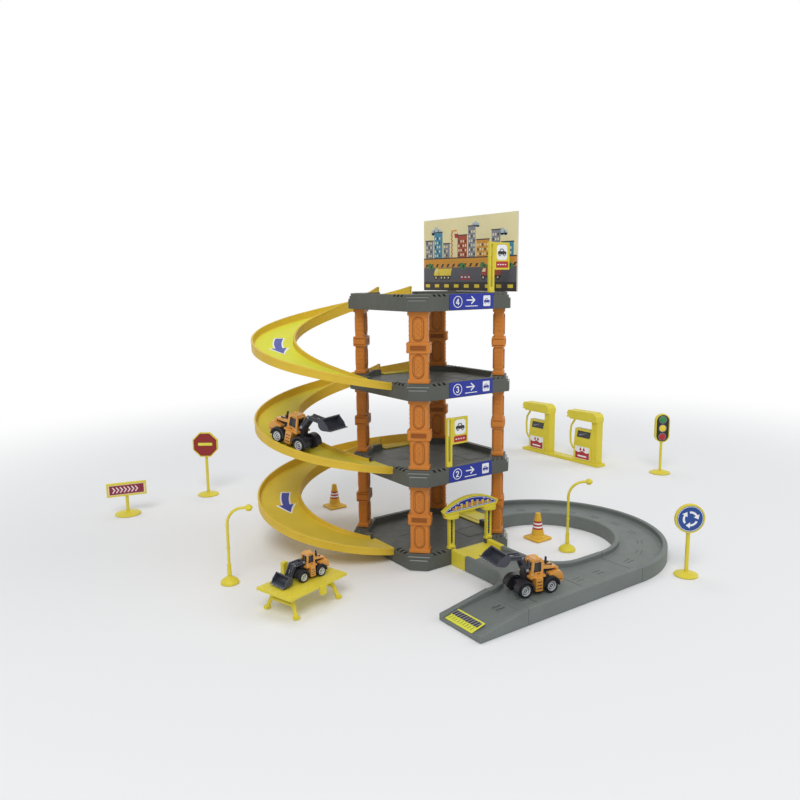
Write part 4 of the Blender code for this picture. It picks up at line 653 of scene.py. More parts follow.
def dress_columns():
    detail = column_detail()
    corners = (("front", -1, -1), ("right", 1, -1), ("back", 1, 1), ("left", -1, 1))
    for level in (1, 2, 3):
        for corner, sx, sy in corners:
            node = f"column_{level}_{corner}"
            refined(node, ORANGE, 0.45, "column_orange")
            turn = math.atan2(sy, sx) + math.pi / 2
            place = at(sx * COLUMN_OFFSET, sy * COLUMN_OFFSET, deck_base(level) + COLUMN_FOOT, turn)
            show(detail, f"{node}_ribs", ROOT, place, "column_orange")


# ---------------------------------------------------------------- ramps
def ramp_point(turn, off, height):
    x, y = RAMP_CENTRE + unit(turn) * (RAMP_RADIUS + off)
    return x, y, height


def ramp_section(wall):
    """Half-width, height and region round the trough, from the outer skirt over both walls."""
    edge = [(23.0, -4.0), (23.0, wall - 2.6), (23.35, wall - 2.2), (23.35, wall - 0.5),
            (22.9, wall), (21.4, wall), (21.0, wall - 0.9), (21.0, 1.4), (20.5, 0.4), (19.6, 0.0)]
    half = [(u, z, "floor" if z == 0.0 else "wall") for u, z in edge]
    under = [(-21.0, -4.0), (-21.0, -2.2), (21.0, -2.2), (21.0, -4.0)]
    other = [(-u, z, kind) for u, z, kind in half[::-1]]
    return half + other + [(u, z, "wall") for u, z in under]


def dress_ramp(level, floor):
    node = f"ramp_{level}_to_{level - 1}"
    base = deck_base(level)
    shape = Shape()
    steps = 132

    def ring(turn, shift):
        share = turn / RAMP_TURN
        top = base + RAMP_FLOOR_TOP - STOREY * share
        section = ramp_section(10.0 - 6.5 * share)
        points = []
        for u, z, _ in section:
            x, y, _ = ramp_point(turn, u, 0.0)
            points.append(shape.point(x + shift[0], y + shift[1], top + z))
        # Floors take the ramp's painted-light tint, walls the darker painted-shade yellow
        return points, [floor if kind == "floor" else YELLOW_PAINTED_SHADE for _, _, kind in section]

    first, finish = ring(0.0, (0.0, -1.7))
    rings = [first]
    for i in range(steps + 1):
        rings.append(ring(RAMP_TURN * i / steps, (0.0, 0.0))[0])
    rings.append(ring(RAMP_TURN, (1.7, 0.0))[0])
    shape.skin(rings, finish)
    near, far = GATE_X - GATE_HALF, GATE_X + GATE_HALF
    for low, high in (((near, 60.0, 10.3), (far, 67.5, 11.5)),
                      ((-67.5, -far, 10.3 - STOREY), (-60.0, -near, 11.5 - STOREY))):
        shape.box(low, high, floor, at(0, 0, base))
    shape.show(f"{node}_trough", slot="ramp_yellow", replaces=(node,), smooth=35.0)


def ramp_arrow(level, start, end, off):
    """A blue arrow with a white edge that lies on the ramp's floor and points down it."""
    shape = Shape()
    base = deck_base(level)
    radius = RAMP_RADIUS + off
    length = math.radians(end - start) * radius
    head = 15.0

    def strip(grow, height, finish):
        marks = [-grow + (length - head + grow) * i / 12 for i in range(13)]
        marks += [length - head - grow * 0.3 + (head + grow * 1.9) * i / 8 for i in range(9)]
        rings = []
        for i, s in enumerate(marks):
            wide = 4.2 - 0.8 * s / length + grow
            if i > 12:
                wide = max(0.05, (8.2 + grow * 1.9) * (marks[-1] - s) / (head + grow * 1.9))
            turn = math.radians(start) + s / radius
            top = base + RAMP_FLOOR_TOP - STOREY * turn / RAMP_TURN
            ring = []
            for u, z in ((-wide, 0.0), (wide, 0.0), (wide, height), (-wide, height)):
                ring.append(shape.point(*ramp_point(turn, off + u, top + z)))
            rings.append(ring)
        shape.skin(rings, finish)

    strip(1.5, 0.12, WHITE)
    strip(0.0, 0.22, BLUE)
    shape.show(f"ramp_{level}_arrow", slot="sticker")


# ---------------------------------------------------------------- road
def road_ring(shape, turn):
    """The road's section with round kerbs, standing across the loop at an angle."""
    points = []
    half, lane, kerb = 26.5, 21.3, 15.0
    for side, order in ((1, 1), (-1, -1)):
        edge = [(half, 0.0), (half, 12.6)] + arc((half - 1.9, 12.9), 1.9, 0, 90, 4)[1:]
        edge += arc((lane + 1.5, 13.4), 1.5, 90, 180, 4) + [(lane, 10.2)]
        edge += arc((lane - 1.0, ROAD_SURFACE + 1.0), 1.0, 0, -90, 3)[1:]
        points += [(side * u, min(z, kerb - 0.1)) for u, z in edge][::order]
    return [shape.point(*(LOOP_CENTRE + unit(turn) * (LOOP_RADIUS + u)), z) for u, z in points]


def dress_curve(node, start):
    shape = Shape()
    gap = 0.15 / LOOP_RADIUS
    low, high = math.radians(start) + gap, math.radians(start + 90) - gap
    steps = 60
    rings = [road_ring(shape, low + (high - low) * i / steps) for i in range(steps + 1)]
    shape.skin(rings, ROAD_GREY)
    # Lane dashes in darker grey: painted shade
    for i in range(5):
        turn = low + (high - low) * (i + 0.5) / 5
        for off in (-2.2, 2.2):
            x, y = LOOP_CENTRE + unit(turn) * (LOOP_RADIUS + off)
            shape.box((-5.5, -0.3, 0.0), (5.5, 0.3, 0.16), ROAD_LINE_PAINTED_SHADE,
                      at(x, y, ROAD_SURFACE, turn + math.pi / 2))
    shape.show(f"{node}_lane", slot="road_grey", replaces=(node,), smooth=35.0)


def dress_roads():
    dress_curve("road_curve_front", -90.0)
    dress_curve("road_curve_back", 0.0)
    refined("road_junction", ROAD_GREY, 0.55, "road_grey", segments=3, angle=30.0, smooth=50.0)
    refined("road_entry", ROAD_GREY, 0.55, "road_grey", segments=3, angle=30.0, smooth=50.0)
    for node in ("connector_front", "connector_back"):
        refined(node, YELLOW, 0.6, "sign_yellow", segments=3, angle=30.0, smooth=50.0)
    # Moulded dashes and edge lines in darker grey: painted shade
    marks = Shape()
    dashes = [(x, y, 0) for x in (-66, -38, 34, 62) for y in (-179, -184)]
    dashes += [(x, y, 90) for y in (-140, -112) for x in (0.8, 5.2)]
    for x, y, turn in dashes:
        marks.box((-5.0, -0.3, -0.1), (5.0, 0.3, 0.16), ROAD_LINE_PAINTED_SHADE,
                  at(x, y, ROAD_SURFACE, math.radians(turn)))
    for x in (-32.5, 24.5):
        marks.box((x - 0.3, ROAD_Y - 21.0, -0.1), (x + 0.3, ROAD_Y + 21.0, 0.12), ROAD_LINE_PAINTED_SHADE,
                  at(0, 0, ROAD_SURFACE))
    marks.show("road_moulded_lines", slot="road_grey")
    slope = facing((-107.0, -156.4, 9.0 - 23.0 * 0.26), (0, -1, 0), (1, 0, 0.26))
    tip = Print(slope)
    tip.flat(rounded((0, 0), (38.4, 15.6), 0.6, 2), LEMON)
    tip.rect((2.0, 7.6), (36.4, 13.9), DARK, 1)
    for i in range(10):
        u = 3.0 + i * 3.35
        tip.flat([(u, 7.6), (u + 1.5, 7.6), (u + 3.0, 13.9), (u + 1.5, 13.9)], CONCRETE, 2)
        tip.flat([(u + 0.5, 2.2), (u + 1.1, 2.2), (u + 1.4, 6.6), (u + 0.8, 6.6)], LEAF, 1)
    tip.show("road_tip_sticker")


# ---------------------------------------------------------------- arch, signs, billboard
def dress_arch():
    for node in ("arch_post_left", "arch_post_right"):
        refined(node, YELLOW, 0.3, "sign_yellow", segments=2)
    refined("arch_board", YELLOW, 0.35, "sign_yellow", segments=2, angle=24.0)
    shape = Shape()
    for side in (-1, 1):
        x = GATE_X + side * ARCH_SPAN
        shape.box((x - 1.45, -63.9, 21.5), (x + 1.45, -63.1, 47.4), DARK)
        for i in range(8):
            z = 22.2 + i * 3.1
            shape.box((x - 1.1, -64.0, z), (x + 1.1, -63.0, z + 1.3), BRICK if i % 2 else TEAL)
        cap = [(0, 52.2), (7.4, 52.2), (7.9, 51.6), (7.9, 50.2), (7.2, 49.5), (0, 49.5)]
        shape.lathe(cap, YELLOW, at(x, -RIM_MIDDLE, 0.15))
        foot = [(0, 24.4), (2.9, 24.4), (3.2, 23.9), (3.2, 22.9), (2.9, 22.4), (0, 22.4)]
        shape.lathe(foot, YELLOW, at(x, -RIM_MIDDLE, -4.6))
    shape.show("arch_post_fittings", slot="sign_yellow")
    low, half, rise = 52.6, 36.5, 11.0
    radius = (half**2 + rise**2) / (2 * rise)
    spread = math.degrees(math.asin(half / radius))
    board = [(-34.5, 0.0), (34.5, 0.0)]
    board += arc((0.0, 15.0 - radius), radius, 90 - spread, 90 + spread, 28)
    face = Print(upright(GATE_X, -65.5, low))
    face.border(board, 1.5, -0.05, 0.55, YELLOW)
    face.flat(inset(board, 1.8), BLUE)
    face.ring(inset(board, 2.3), inset(board, 2.75), -0.02, 0.22, WHITE)
    heights = (2.2, 3.6, 2.8, 5.0, 3.6, 6.0, 4.4, 6.6, 4.2, 5.6, 3.4, 4.6, 2.8, 3.4, 2.0)
    for i, high in enumerate(heights):
        u = -24.6 + i * 3.5
        face.rect((u, 3.4), (u + 2.7, 3.4 + high), AMBER if i % 2 else WALL, 1)
        for row in range(int(high // 1.8)):
            face.rect((u + 0.7, 4.3 + row * 1.7), (u + 1.9, 5.0 + row * 1.7), BRICK, 2)
    for u, v, r in ((-17.0, 9.4, 1.0), (17.0, 9.6, 1.0), (-27.5, 5.6, 0.8), (27.6, 5.6, 0.8)):
        face.disc((u, v), r, CLOUD, 1, 20)
    face.rect((-28.0, 2.6), (28.0, 3.3), TEAL, 1)
    face.show("arch_panel")


def dress_parking_signs():
    for node, level, x in (("parking_sign_deck", 2, -24.5), ("parking_sign_roof", 4, 29.0)):
        refined(node, YELLOW, 0.3, "sign_yellow")
        top = deck_base(level) + DECK_TOP + 0.3 + 49.0
        face = Print(upright(x + 3.2, -RIM_MIDDLE - 1.2, top - 27.0))
        outer = rounded((0.6, 0.5), (19.6, 26.4), 1.2, 3)
        face.border(outer, 1.1, -0.05, 0.6, YELLOW)
        face.flat(rounded((3.2, 9.6), (17.0, 24.6), 3.4, 6), WHITE)
        face.car((10.1, 16.9), 11.0, DARK, WHITE, 1)
        face.flat(rounded((1.9, 2.0), (18.3, 8.2), 0.5, 2), RED)
        for i in range(4):
            face.rect((4.2 + i * 3.2, 4.6), (6.0 + i * 3.2, 5.6), WHITE, 1)
        face.show(f"{node}_face")


def dress_billboard():
    refined("billboard", CARD_BACK, 0.15, "card_print")
    art = Print(facing(BILLBOARD_CORNER, (0, -1, 0), (0, 0, 1)))
    left, right, top = 0.3, BILLBOARD_SIZE[0] - 0.3, BILLBOARD_SIZE[1] - 0.3
    art.rect((left, left), (right, top), SKY)
    for u, v, size in ((24, 66, 1.0), (92, 70, 0.7), (134, 60, 0.85)):
        for du, dv, r in ((-6, 0, 3.2), (0, 1.6, 4.4), (6, 0, 3.2)):
            art.disc((u + du * size, v + dv * size), r * size, CLOUD, 1, 24)
        art.rect((u - 9 * size, v - 3.2 * size), (u + 9 * size, v - 0.4), CLOUD, 1)
    blocks = ((4, 14, 20, CONCRETE), (20, 15, 29, TEAL), (37, 11, 16, CONCRETE),
              (62, 16, 24, BRICK), (80, 12, 33, CONCRETE), (94, 20, 18, WALL),
              (118, 13, 27, CONCRETE), (133, 18, 14, TEAL))
    for i, (u, width, high, finish) in enumerate(blocks):
        art.rect((u, 36), (u + width, 36 + high), finish, 2)
        art.rect((u - 0.7, 36 + high), (u + width + 0.7, 37.2 + high), KERB_DARK, 2)
        for row in range(int(high // 5)):
            for col in range(int(width // 4)):
                a, b = u + 1.4 + col * 3.8, 38.2 + row * 4.8
                art.rect((a, b), (a + 2.0, b + 2.6), SKY if (i + row + col) % 3 else KERB_DARK, 3)
    art.stroke([(52, 36), (52, 66), (60, 66)], 1.4, WALL, 3)
    for i in range(6):
        art.stroke([(50.4, 38 + i * 4.6), (53.6, 41.6 + i * 4.6)], 0.6, BRICK, 4)
    art.flat([(56.5, 62.5), (63.5, 62.5), (62.4, 58.0), (57.6, 58.0)], RED, 4)
    art.rect((left, 25.5), (right, 36.2), WALL, 4)
    art.rect((left, 35.6), (right, 36.8), KERB_DARK, 5)
    for i in range(16):
        u = 3.0 + i * 9.8
        art.flat([(u, 26.4), (u + 3.6, 26.4), (u + 6.4, 30.0), (u + 2.8, 30.0)], KERB_DARK, 5)
    for u in (12, 70, 104, 144):
        art.disc((u, 27.5), 3.6, LEAF, 6, 20)
        art.disc((u + 4.4, 26.4), 2.6, LEAF, 6, 20)
    art.rect((left, 9.6), (right, 25.8), ASPHALT, 5)
    art.rect((left, left), (right, 9.8), KERB_DARK, 6)
    for i in range(9):
        art.rect((4.0 + i * 17.4, 3.6), (12.0 + i * 17.4, 7.2), AMBER, 7)
    for u, finish in ((30.0, AMBER), (112.0, BRICK)):
        art.flat([(u, 16.4), (u + 20, 16.4), (u + 22.4, 24.8), (u - 1.6, 24.8)], finish, 7)
        nose = [(-10, 16.4), (-1.4, 16.4), (-1.4, 25.4), (-6.6, 25.4), (-10, 20.6)]
        art.flat([(u + x, v) for x, v in nose], finish, 7)
        art.flat([(u - 8.8, 20.6), (u - 2.8, 20.6), (u - 2.8, 24.2), (u - 6.3, 24.2)], SKY, 8)
        art.rect((u - 10.4, 15.0), (u + 20.5, 16.8), KERB_DARK, 8)
        for v in (-6.4, 4.0, 9.6, 16.4):
            art.disc((u + v, 14.6), 2.5, KERB_DARK, 9, 24)
            art.disc((u + v, 14.6), 1.1, SKY, 10, 18)
    for u in (70.0, 76.0, 82.0):
        art.flat([(u - 2.2, 12.0), (u + 2.2, 12.0), (u + 0.5, 18.6), (u - 0.5, 18.6)], RED, 7)
        art.rect((u - 1.3, 14.4), (u + 1.3, 15.8), WHITE, 8)
    art.show("billboard_print")


def dress_signs():
    for node in SIGNS:
        refined(node, YELLOW, 0.22, "sign_yellow", angle=34.0)

    def sign_face(node, height, turn=FACE_TURN):
        return Print(at(*SIGNS[node], 0.0, turn) @ upright(0, SIGN_FACE, height))

    face = sign_face("stop_sign", 69.5)
    octagon = arc((0, 0), 16.5 / math.cos(math.pi / 8), 22.5, 337.5, 7)
    face.border(octagon, 1.3, -0.05, 0.6, YELLOW)
    face.flat(inset(octagon, 1.5), DEEP_RED)
    face.flat(rounded((-9.4, -1.2), (9.4, 2.6), 0.7, 3), LEMON, 1)
    face.show("stop_sign_face")

    face = sign_face("roundabout_sign", 57.6)
    face.band((0, 0), 14.0, 12.9, YELLOW, 2)
    face.disc((0, 0), 12.8, DEEP_BLUE, 0, 56)
    face.band((0, 0), 12.3, 11.8, WHITE, 1)
    for i in range(3):
        start = 98 - i * 120
        face.band((0, 0), 7.4, 5.4, WHITE, 1, start - 70, start, 12)
        tail = math.radians(start - 70)
        out = unit(tail)
        way = Vector((out.y, -out.x))
        tip = out * 6.4 + way * 4.0
        face.flat([tuple(out * 9.4), tuple(out * 3.4), tuple(tip)][::-1], WHITE, 1)
    face.show("roundabout_sign_face")

    face = sign_face("chevron_barrier", 24.0, CHEVRON_TURN)
    outer = rounded((-23.0, 0.3), (23.0, 16.7), 0.8, 2)
    face.ring(outer, rounded((-21.5, 1.8), (21.5, 15.2), 0.4, 2), -0.05, 0.7, YELLOW)
    face.flat(rounded((-21.3, 2.0), (21.3, 15.0), 0.3, 2), CARD)
    face.rect((-20.0, 2.9), (20.0, 14.1), WINE, 1)
    for i in range(7):
        u = -16.2 + i * 4.4
        face.stroke([(u, 5.2), (u + 2.6, 8.5), (u, 11.8)], 1.35, ROSE, 2)
    face.show("chevron_barrier_face")

    face = sign_face("traffic_light", 0.0)
    outline = arc((0, 77.75), 10.1, 0, 180, 20) + arc((0, 56.25), 10.1, 180, 360, 20)
    face.border(outline, 1.2, -0.05, 0.6, YELLOW)
    face.flat(inset(outline, 1.4), DARK)
    for z, finish in ((79.6, GREEN), (67.0, AMBER), (54.4, RED)):
        face.band((0, z), 5.6, 4.9, CONCRETE, 3)
        lens = [(0.0, 1.1), (1.8, 1.0), (3.4, 0.75), (4.6, 0.35), (4.8, 0.1), (0.0, 0.1)]
        face.lathe(lens, finish, at(0, z), 32)
    face.show("traffic_light_face")


# ---------------------------------------------------------------- lamps, cones, station, table
def lamp_mesh():
    shape = Shape()
    height, bend, reach = 74.5, 16.0, 21.0
    straight = height - bend
    path = [(0, 0, 15.0), (0, 0, 30.0), (0, 0, 45.0)]
    path += [(u, 0, z) for u, z in arc((bend, straight), bend, 180, 90, 16)]
    path.append((reach - 1.5, 0, height))
    shape.tube(path, 1.35, YELLOW)
    foot = [(0, 19.2), (1.5, 19.2), (1.95, 18.6), (1.95, 7.4), (2.6, 6.6), (4.6, 5.6), (6.8, 4.1),
            (8.3, 2.6), (8.8, 1.2), (8.6, 0.0), (0, 0.0)]
    shape.lathe(foot, YELLOW)
    head = [(0, 2.9), (1.8, 2.8), (3.2, 1.7), (4.0, 0.1), (3.6, -0.8), (2.9, -0.9), (2.4, -2.7),
            (1.4, -2.9), (0, -2.9)]
    shape.lathe(head, YELLOW, at(reach, 0, height))
    shape.lathe([(0, -2.86), (1.9, -2.86), (2.3, -2.7), (2.5, -1.5), (0, -1.5)], CARD,
                at(reach, 0, height - 0.06))
    for z in (34.0, 56.5):
        shape.lathe([(1.2, z), (1.75, z + 0.3), (1.75, z + 1.2), (1.2, z + 1.5)], YELLOW, sides=20)
    shape.lathe([(1.9, 9.0), (2.35, 9.3), (2.35, 10.4), (1.9, 10.7)], YELLOW, sides=24)
    return shape.mesh("lamp", smooth=45.0)


def cone_mesh():
    shape = Shape()
    half, height, foot, top = 11.75, 29.5, 7.0, 2.9
    base = rounded((-half, -half), (half, half), 3.0, 5)
    rings = []
    for depth, z in ((0.5, 0.0), (0.0, 0.4), (0.0, 1.5), (0.5, 2.1), (3.2, 2.6)):
        rings.append([shape.point(u, v, z) for u, v in inset(base, depth)])
    shape.skin(rings, CONE_YELLOW)
    low = 4.4

    def radius(z):
        return foot + (top - foot) * (z - low) / (height - 1.5 - low)

    shoulder = height - 1.5
    profile = [(0.0, height), (top * 0.62, height), (top * 0.92, height - 0.5),
               (radius(shoulder), shoulder)]
    profile += [(radius(z), z) for z in (20.6, 18.6, 16.9, 15.0, 13.3, 11.6, 9.8)]
    profile += [(foot, low), (8.6, 3.4), (8.9, 2.4), (8.9, 1.6), (0.0, 1.6)]
    finishes = [CONE_YELLOW] * 4 + [RED, WHITE, RED, WHITE, RED] + [CONE_YELLOW] * 6
    shape.lathe(profile, finishes, sides=48)
    return shape.mesh("cone", smooth=40.0)


def dress_lamps_and_cones():
    lamp = lamp_mesh()
    for node, where in LAMPS.items():
        show(lamp, f"{node}_form", ROOT, at(*where, 0.0, FACE_TURN), "sign_yellow", (node,))
    cone = cone_mesh()
    for node, where in CONES.items():
        show(cone, f"{node}_form", ROOT, at(*where), "sign_yellow", (node,))


def dress_fuel_station():
    refined("fuel_station", YELLOW, 0.8, "sign_yellow", segments=3, angle=34.0, smooth=50.0)
    for index in range(2):
        y = PUMP_Y + PUMP_SPACING * index
        left = y + 45.0
        shape = Shape()
        lower = facing((PUMP_FACE, left, 4.0), (0, -1, 0), (0, 0, 1))
        frame_line = rounded((2.0, 1.5), (33.0, 23.4), 1.6, 3)
        shape.border(frame_line, 1.1, -0.2, 0.5, YELLOW, lower)
        slope = facing((PUMP_FACE, left, 28.0), (0, -1, 0), (3.0, 0, 25.0))
        upper = rounded((2.0, 1.0), (33.0, 23.6), 2.0, 3)
        shape.border(upper, 1.1, -0.2, 0.5, YELLOW, slope)
        shape.prism(rounded((5.0, 4.2), (30.0, 9.0), 0.8, 2), -0.2, 0.4, YELLOW, slope)
        for row in range(3):
            # Darker yellow slats on the pump: painted shade between the ribs
            shape.box((7.0, 4.9 + row * 1.3, 0.3), (28.0, 5.4 + row * 1.3, 0.55), YELLOW_PAINTED_SHADE, slope)
        for u in (1.2, 7.6):
            shape.box((396.2 - 0.35, y + u, 5.0), (397.2, y + u + 1.4, 66.0), YELLOW)
        for row in range(5):
            z = 12.0 + row * 11.0
            shape.box((396.05, y + 3.6, z), (396.9, y + 6.6, z + 5.4), YELLOW)
        for u in (6.0, 20.0, 34.0, 48.0):
            shape.box((392.6, y + u, 69.6), (394.0, y + u + 9.6, 72.2), YELLOW)
        x = NOZZLE_X
        shape.box((x - 2.2, left - 0.5, 33.0), (x + 2.2, left + 2.4, 45.0), YELLOW)
        spout = [(x, left + 2.2, 43.0), (x, left + 4.0, 40.0), (x, left + 4.4, 35.5)]
        shape.tube(spout, 1.0, BLACK, radii=[1.2, 1.1, 0.8])
        shape.show(f"fuel_pump_{index + 1}_trim", slot="sign_yellow", bevel=0.2, segments=1)
        face = Print(slope)
        face.flat([(5.0, 12.2), (30.0, 12.2), (31.0, 22.0), (6.0, 22.0)], DARK, 3)
        face.flat([(6.4, 13.4), (28.8, 13.4), (29.6, 20.8), (7.4, 20.8)], GLASS, 5)
        # The pale slanted streak across the screen is a painted reflection
        face.flat([(9.0, 14.4), (22.0, 19.0), (23.4, 20.0), (8.6, 16.2)], CONCRETE, 6)
        face.show(f"fuel_pump_{index + 1}_screen")
        label = Print(lower)
        label.flat(rounded((3.4, 2.8), (31.6, 22.2), 0.8, 3), WHITE)
        label.flat([(3.9, 3.3), (31.1, 3.3), (31.1, 14.4), (25.0, 12.6), (17.5, 15.6), (10.0, 12.6),
                    (3.9, 14.4)], RED, 1)
        for u in (14.2, 20.8):
            label.disc((u, 17.4), 1.9, RED, 2, 24)
            label.flat([(u - 1.6, 18.2), (u + 1.6, 18.2), (u, 21.2)], RED, 3)
        label.rect((9.0, 6.2), (26.0, 8.4), WHITE, 2)
        label.show(f"fuel_pump_{index + 1}_label")


def dress_table():
    refined("work_table", YELLOW, 0.35, "sign_yellow", angle=34.0)
    shape = Shape(at(*TABLE_PLACE, 0.0, TABLE_TURN))
    for y in (-12.0, -4.0, 4.0, 12.0):
        # Darker yellow lines on the table top: painted shade
        shape.box((-34.0, y - 0.25, TABLE_TOP), (34.0, y + 0.25, TABLE_TOP + 0.22), YELLOW_PAINTED_SHADE)
    for x in (-31.0, 31.0):
        for y in (-16.5, 16.5):
            stud = [(0, 22.55), (0.9, 22.5), (1.3, 22.2), (1.3, 21.9), (0, 21.9)]
            shape.lathe(stud, YELLOW, at(x, y), 18)
    shape.show("work_table_lines", slot="sign_yellow")


# ---------------------------------------------------------------- loaders
def loader_place(name):
    """The loader's own frame, read from its wheel joints: +X forward, +Y left, on the ground."""
    front = Vector(JOINTS[f"{name}_front_spin"]["pos_m"])
    rear = Vector(JOINTS[f"{name}_rear_spin"]["pos_m"])
    left = Vector(JOINTS[f"{name}_front_spin"]["axis"]).normalized()
    way = (front - rear).normalized()
    up = way.cross(left)
    scale = (front - rear).length / (WHEELBASE * MM)
    matrix = Matrix((way, left, up)).transposed().to_4x4()
    matrix.translation = (front + rear) / 2 - up * (WHEEL_RADIUS * MM * scale)
    return matrix @ Matrix.Scale(scale, 4)


def wheelset_mesh():
    shape = Shape()
    for side in (-1, 1):
        place = sideways(0, side * 10.5, 0, side)
        tyre = [(5.0, 2.85), (5.6, 3.0), (6.15, 2.75), (6.4, 2.2), (6.4, 0.4), (6.2, 0.3),
                (6.2, -0.3), (6.4, -0.4), (6.4, -2.2), (6.15, -2.75), (5.4, -3.0), (3.4, -3.0),
                (0.0, -2.6)]
        hub = [(0.0, 1.7), (0.55, 1.7), (0.7, 1.3), (1.7, 1.15), (1.9, 1.75), (2.75, 1.75),
               (2.9, 1.1), (3.75, 1.05), (3.85, 2.3), (4.55, 2.45), (4.75, 2.2)]
        finishes = [SILVER] * 2 + [BLACK] + [SILVER] * 3 + [BLACK] + [SILVER] * 3
        shape.lathe(hub + tyre, finishes + [TYRE] * len(tyre), place, 44)
        for i in range(26):
            turn = 2 * math.pi * i / 26
            for half, shift in ((1, 0.0), (-1, math.pi / 26)):
                lug = place @ Matrix.Rotation(turn + shift, 4, "Z") @ at(6.4, 0, half * 1.35)
                shape.box((-0.35, -0.42, -0.95), (0.19, 0.42, 0.95), TYRE, lug)
    shape.lathe([(0, 8.5), (1.25, 8.5), (1.25, -8.5), (0, -8.5)], STEEL, TO_Y, 16)
    return shape.mesh("wheelset", smooth=38.0)


def cab_detail_mesh():
    """Windows, door lines, lights, vents and exhaust on the loader's upper body."""
    shape = Shape()
    for side in (-1, 1):
        flank = upright(0, side * 5.5, 0, -side)

        def across(points):
            outline = [(-side * x, z) for x, z in points]
            return outline if side < 0 else outline[::-1]

        def mark(low, high, height, face):
            """A raised black bar between two corners on a flank."""
            shape.prism(across(rectangle(low, high)), -0.1, height, BLACK, face)

        pane = across([(-6.3, 20.1), (2.1, 20.1), (1.0, 29.2), (-6.3, 29.2)])
        shape.prism(pane, -0.1, 0.25, GLASS, flank)
        shape.ring(inset(pane, -0.15), inset(pane, 0.35), 0.2, 0.55, BLACK, flank)
        wide = upright(0, side * 6.5, 0, -side)
        door = across(rectangle((-4.6, 12.9), (1.4, 31.0)))
        shape.border(door, 0.28, -0.1, 0.07, BLACK, wide)
        mark((-3.9, 17.9), (-2.1, 18.5), 0.5, wide)
        hood = upright(0, side * 6.4, 0, -side)
        for i in range(5):
            x, z = -12.0 - i * 2.3, 20.9 - i * 0.16
            mark((x - 1.3, z), (x, z + 0.8), 0.1, hood)
        mark((-26.8, 10.6), (-22.6, 11.2), 0.1, upright(0, side * 10.6, 0, -side))
        for z in (6.4, 9.6, 12.8):
            mark((-2.9, z), (2.5, z + 0.7), 0.14, upright(0, side * 13.3, 0, -side))
        lamp = at(4.6, side * 8.8, 19.4)
        shape.box((-0.9, -1.2, -1.6), (1.2, 1.2, 1.3), LOADER_PAINT, lamp)
        shape.lathe([(0, 0.35), (0.6, 0.3), (0.85, 0.05), (0.85, -0.3), (0, -0.3)], SILVER,
                    lamp @ at(1.25, 0, 0) @ Matrix.Rotation(math.pi / 2, 4, "Y"), 18)
        tail = at(-28.4, side * 8.2, 13.0)
        shape.box((-0.25, -1.1, -0.7), (0.3, 1.1, 0.7), RED, tail)
    for x, low, way in ((2.05, 20.2, 1), (-7.6, 26.4, -1)):
        shape.prism(rectangle((-4.6, low), (4.6, 29.2)), -0.1, 0.2, GLASS,
                    facing((x, 0, 0), (0, way, 0), (0, 0, 1)))
    for y in (-5.2, 4.4):
        shape.box((-7.4, y, 32.35), (2.0, y + 0.8, 32.75), LOADER_PAINT)
    shape.box((2.2, -2.6, 30.6), (3.4, 2.6, 31.6), LOADER_PAINT)
    for u in (-1.7, 1.7):
        shape.lathe([(0, 0.2), (0.5, 0.15), (0.6, -0.1), (0, -0.1)], SILVER,
                    at(3.4, u, 31.1) @ Matrix.Rotation(math.pi / 2, 4, "Y"), 14)
    back = facing((-28.5, 0, 0), (0, -1, 0), (0, 0, 1))
    for i in range(5):
        shape.prism(rectangle((-5.2, 10.0 + i), (5.2, 10.5 + i)), -0.1, 0.14, BLACK, back)
    for u in (-3.0, 3.0):
        shape.box((-20.5, u - 0.2, 21.9), (-10.5, u + 0.2, 24.65), BLACK)
    exhaust = [(0, 30.9), (0.75, 30.9), (1.1, 30.5), (1.1, 23.5), (1.5, 23.3), (1.5, 22.8),
               (0, 22.8)]
    filler = [(0, 27.6), (0.9, 27.5), (1.5, 27.0), (1.5, 26.2), (0.8, 26.0), (0.8, 23.9), (0, 23.9)]
    beacon = [(0, 34.2), (0.8, 34.0), (1.1, 33.4), (1.1, 32.4), (0, 32.4)]
    turned = ((exhaust, BLACK, -15.5), (filler, BLACK, -11.2), (beacon, AMBER, -5.6))
    for profile, finish, x in turned:
        shape.lathe(profile, finish, at(x), 20)
    return shape.mesh("cab_detail", smooth=35.0)


def chassis_detail_mesh():
    """Pivot caps, bolts, ribs and hydraulic housings on the black frame."""
    shape = Shape()
    x, _, z = ARM_PIVOT
    for side in (-1, 1):
        cap = sideways(x, side * 5.8, z, side)
        shape.lathe([(0, 0.5), (0.9, 0.45), (1.5, 0.15), (1.5, -0.05), (0, -0.05)], STEEL, cap, 24)
        for wheel in (-1, 1):
            band = arc((wheel * WHEELBASE / 2, WHEEL_RADIUS), 9.32, 12, 168, 24)
            inner = arc((wheel * WHEELBASE / 2, WHEEL_RADIUS), 8.55, 168, 12, 24)
            shape.arch(band, inner[::-1], side * 13.25, side * 12.5, BLACK)
        for u in (-4.6, -1.6, 1.4):
            shape.lathe([(0, 0.15), (0.5, 0.12), (0.6, -0.1), (0, -0.1)], STEEL,
                        sideways(u, side * 6.45, 6.6, side), 6)
        shape.tube([(x - 1.2, side * 2.2, 12.5), (x - 0.4, side * 2.2, 24.5)], 0.9, ARM_GREY)
        for k in range(4):
            x_rib = -19.2 + k * 2.6
            shape.box((x_rib, side * 4.35, 13.4), (x_rib + 1.0, side * 4.6, 18.2), STEEL)
    for k in range(3):
        shape.box((-2.75 + x, -3.2, 15.0 + k * 3.0), (-2.45 + x, 3.2, 16.2 + k * 3.0), ARM_GREY)
    shape.box((14.6, -4.6, 5.0), (17.0, 4.6, 9.6), BLACK)
    shape.box((-22.2, -1.2, 5.0), (-20.8, 1.2, 7.4), STEEL)
    return shape.mesh("chassis_detail", smooth=35.0)


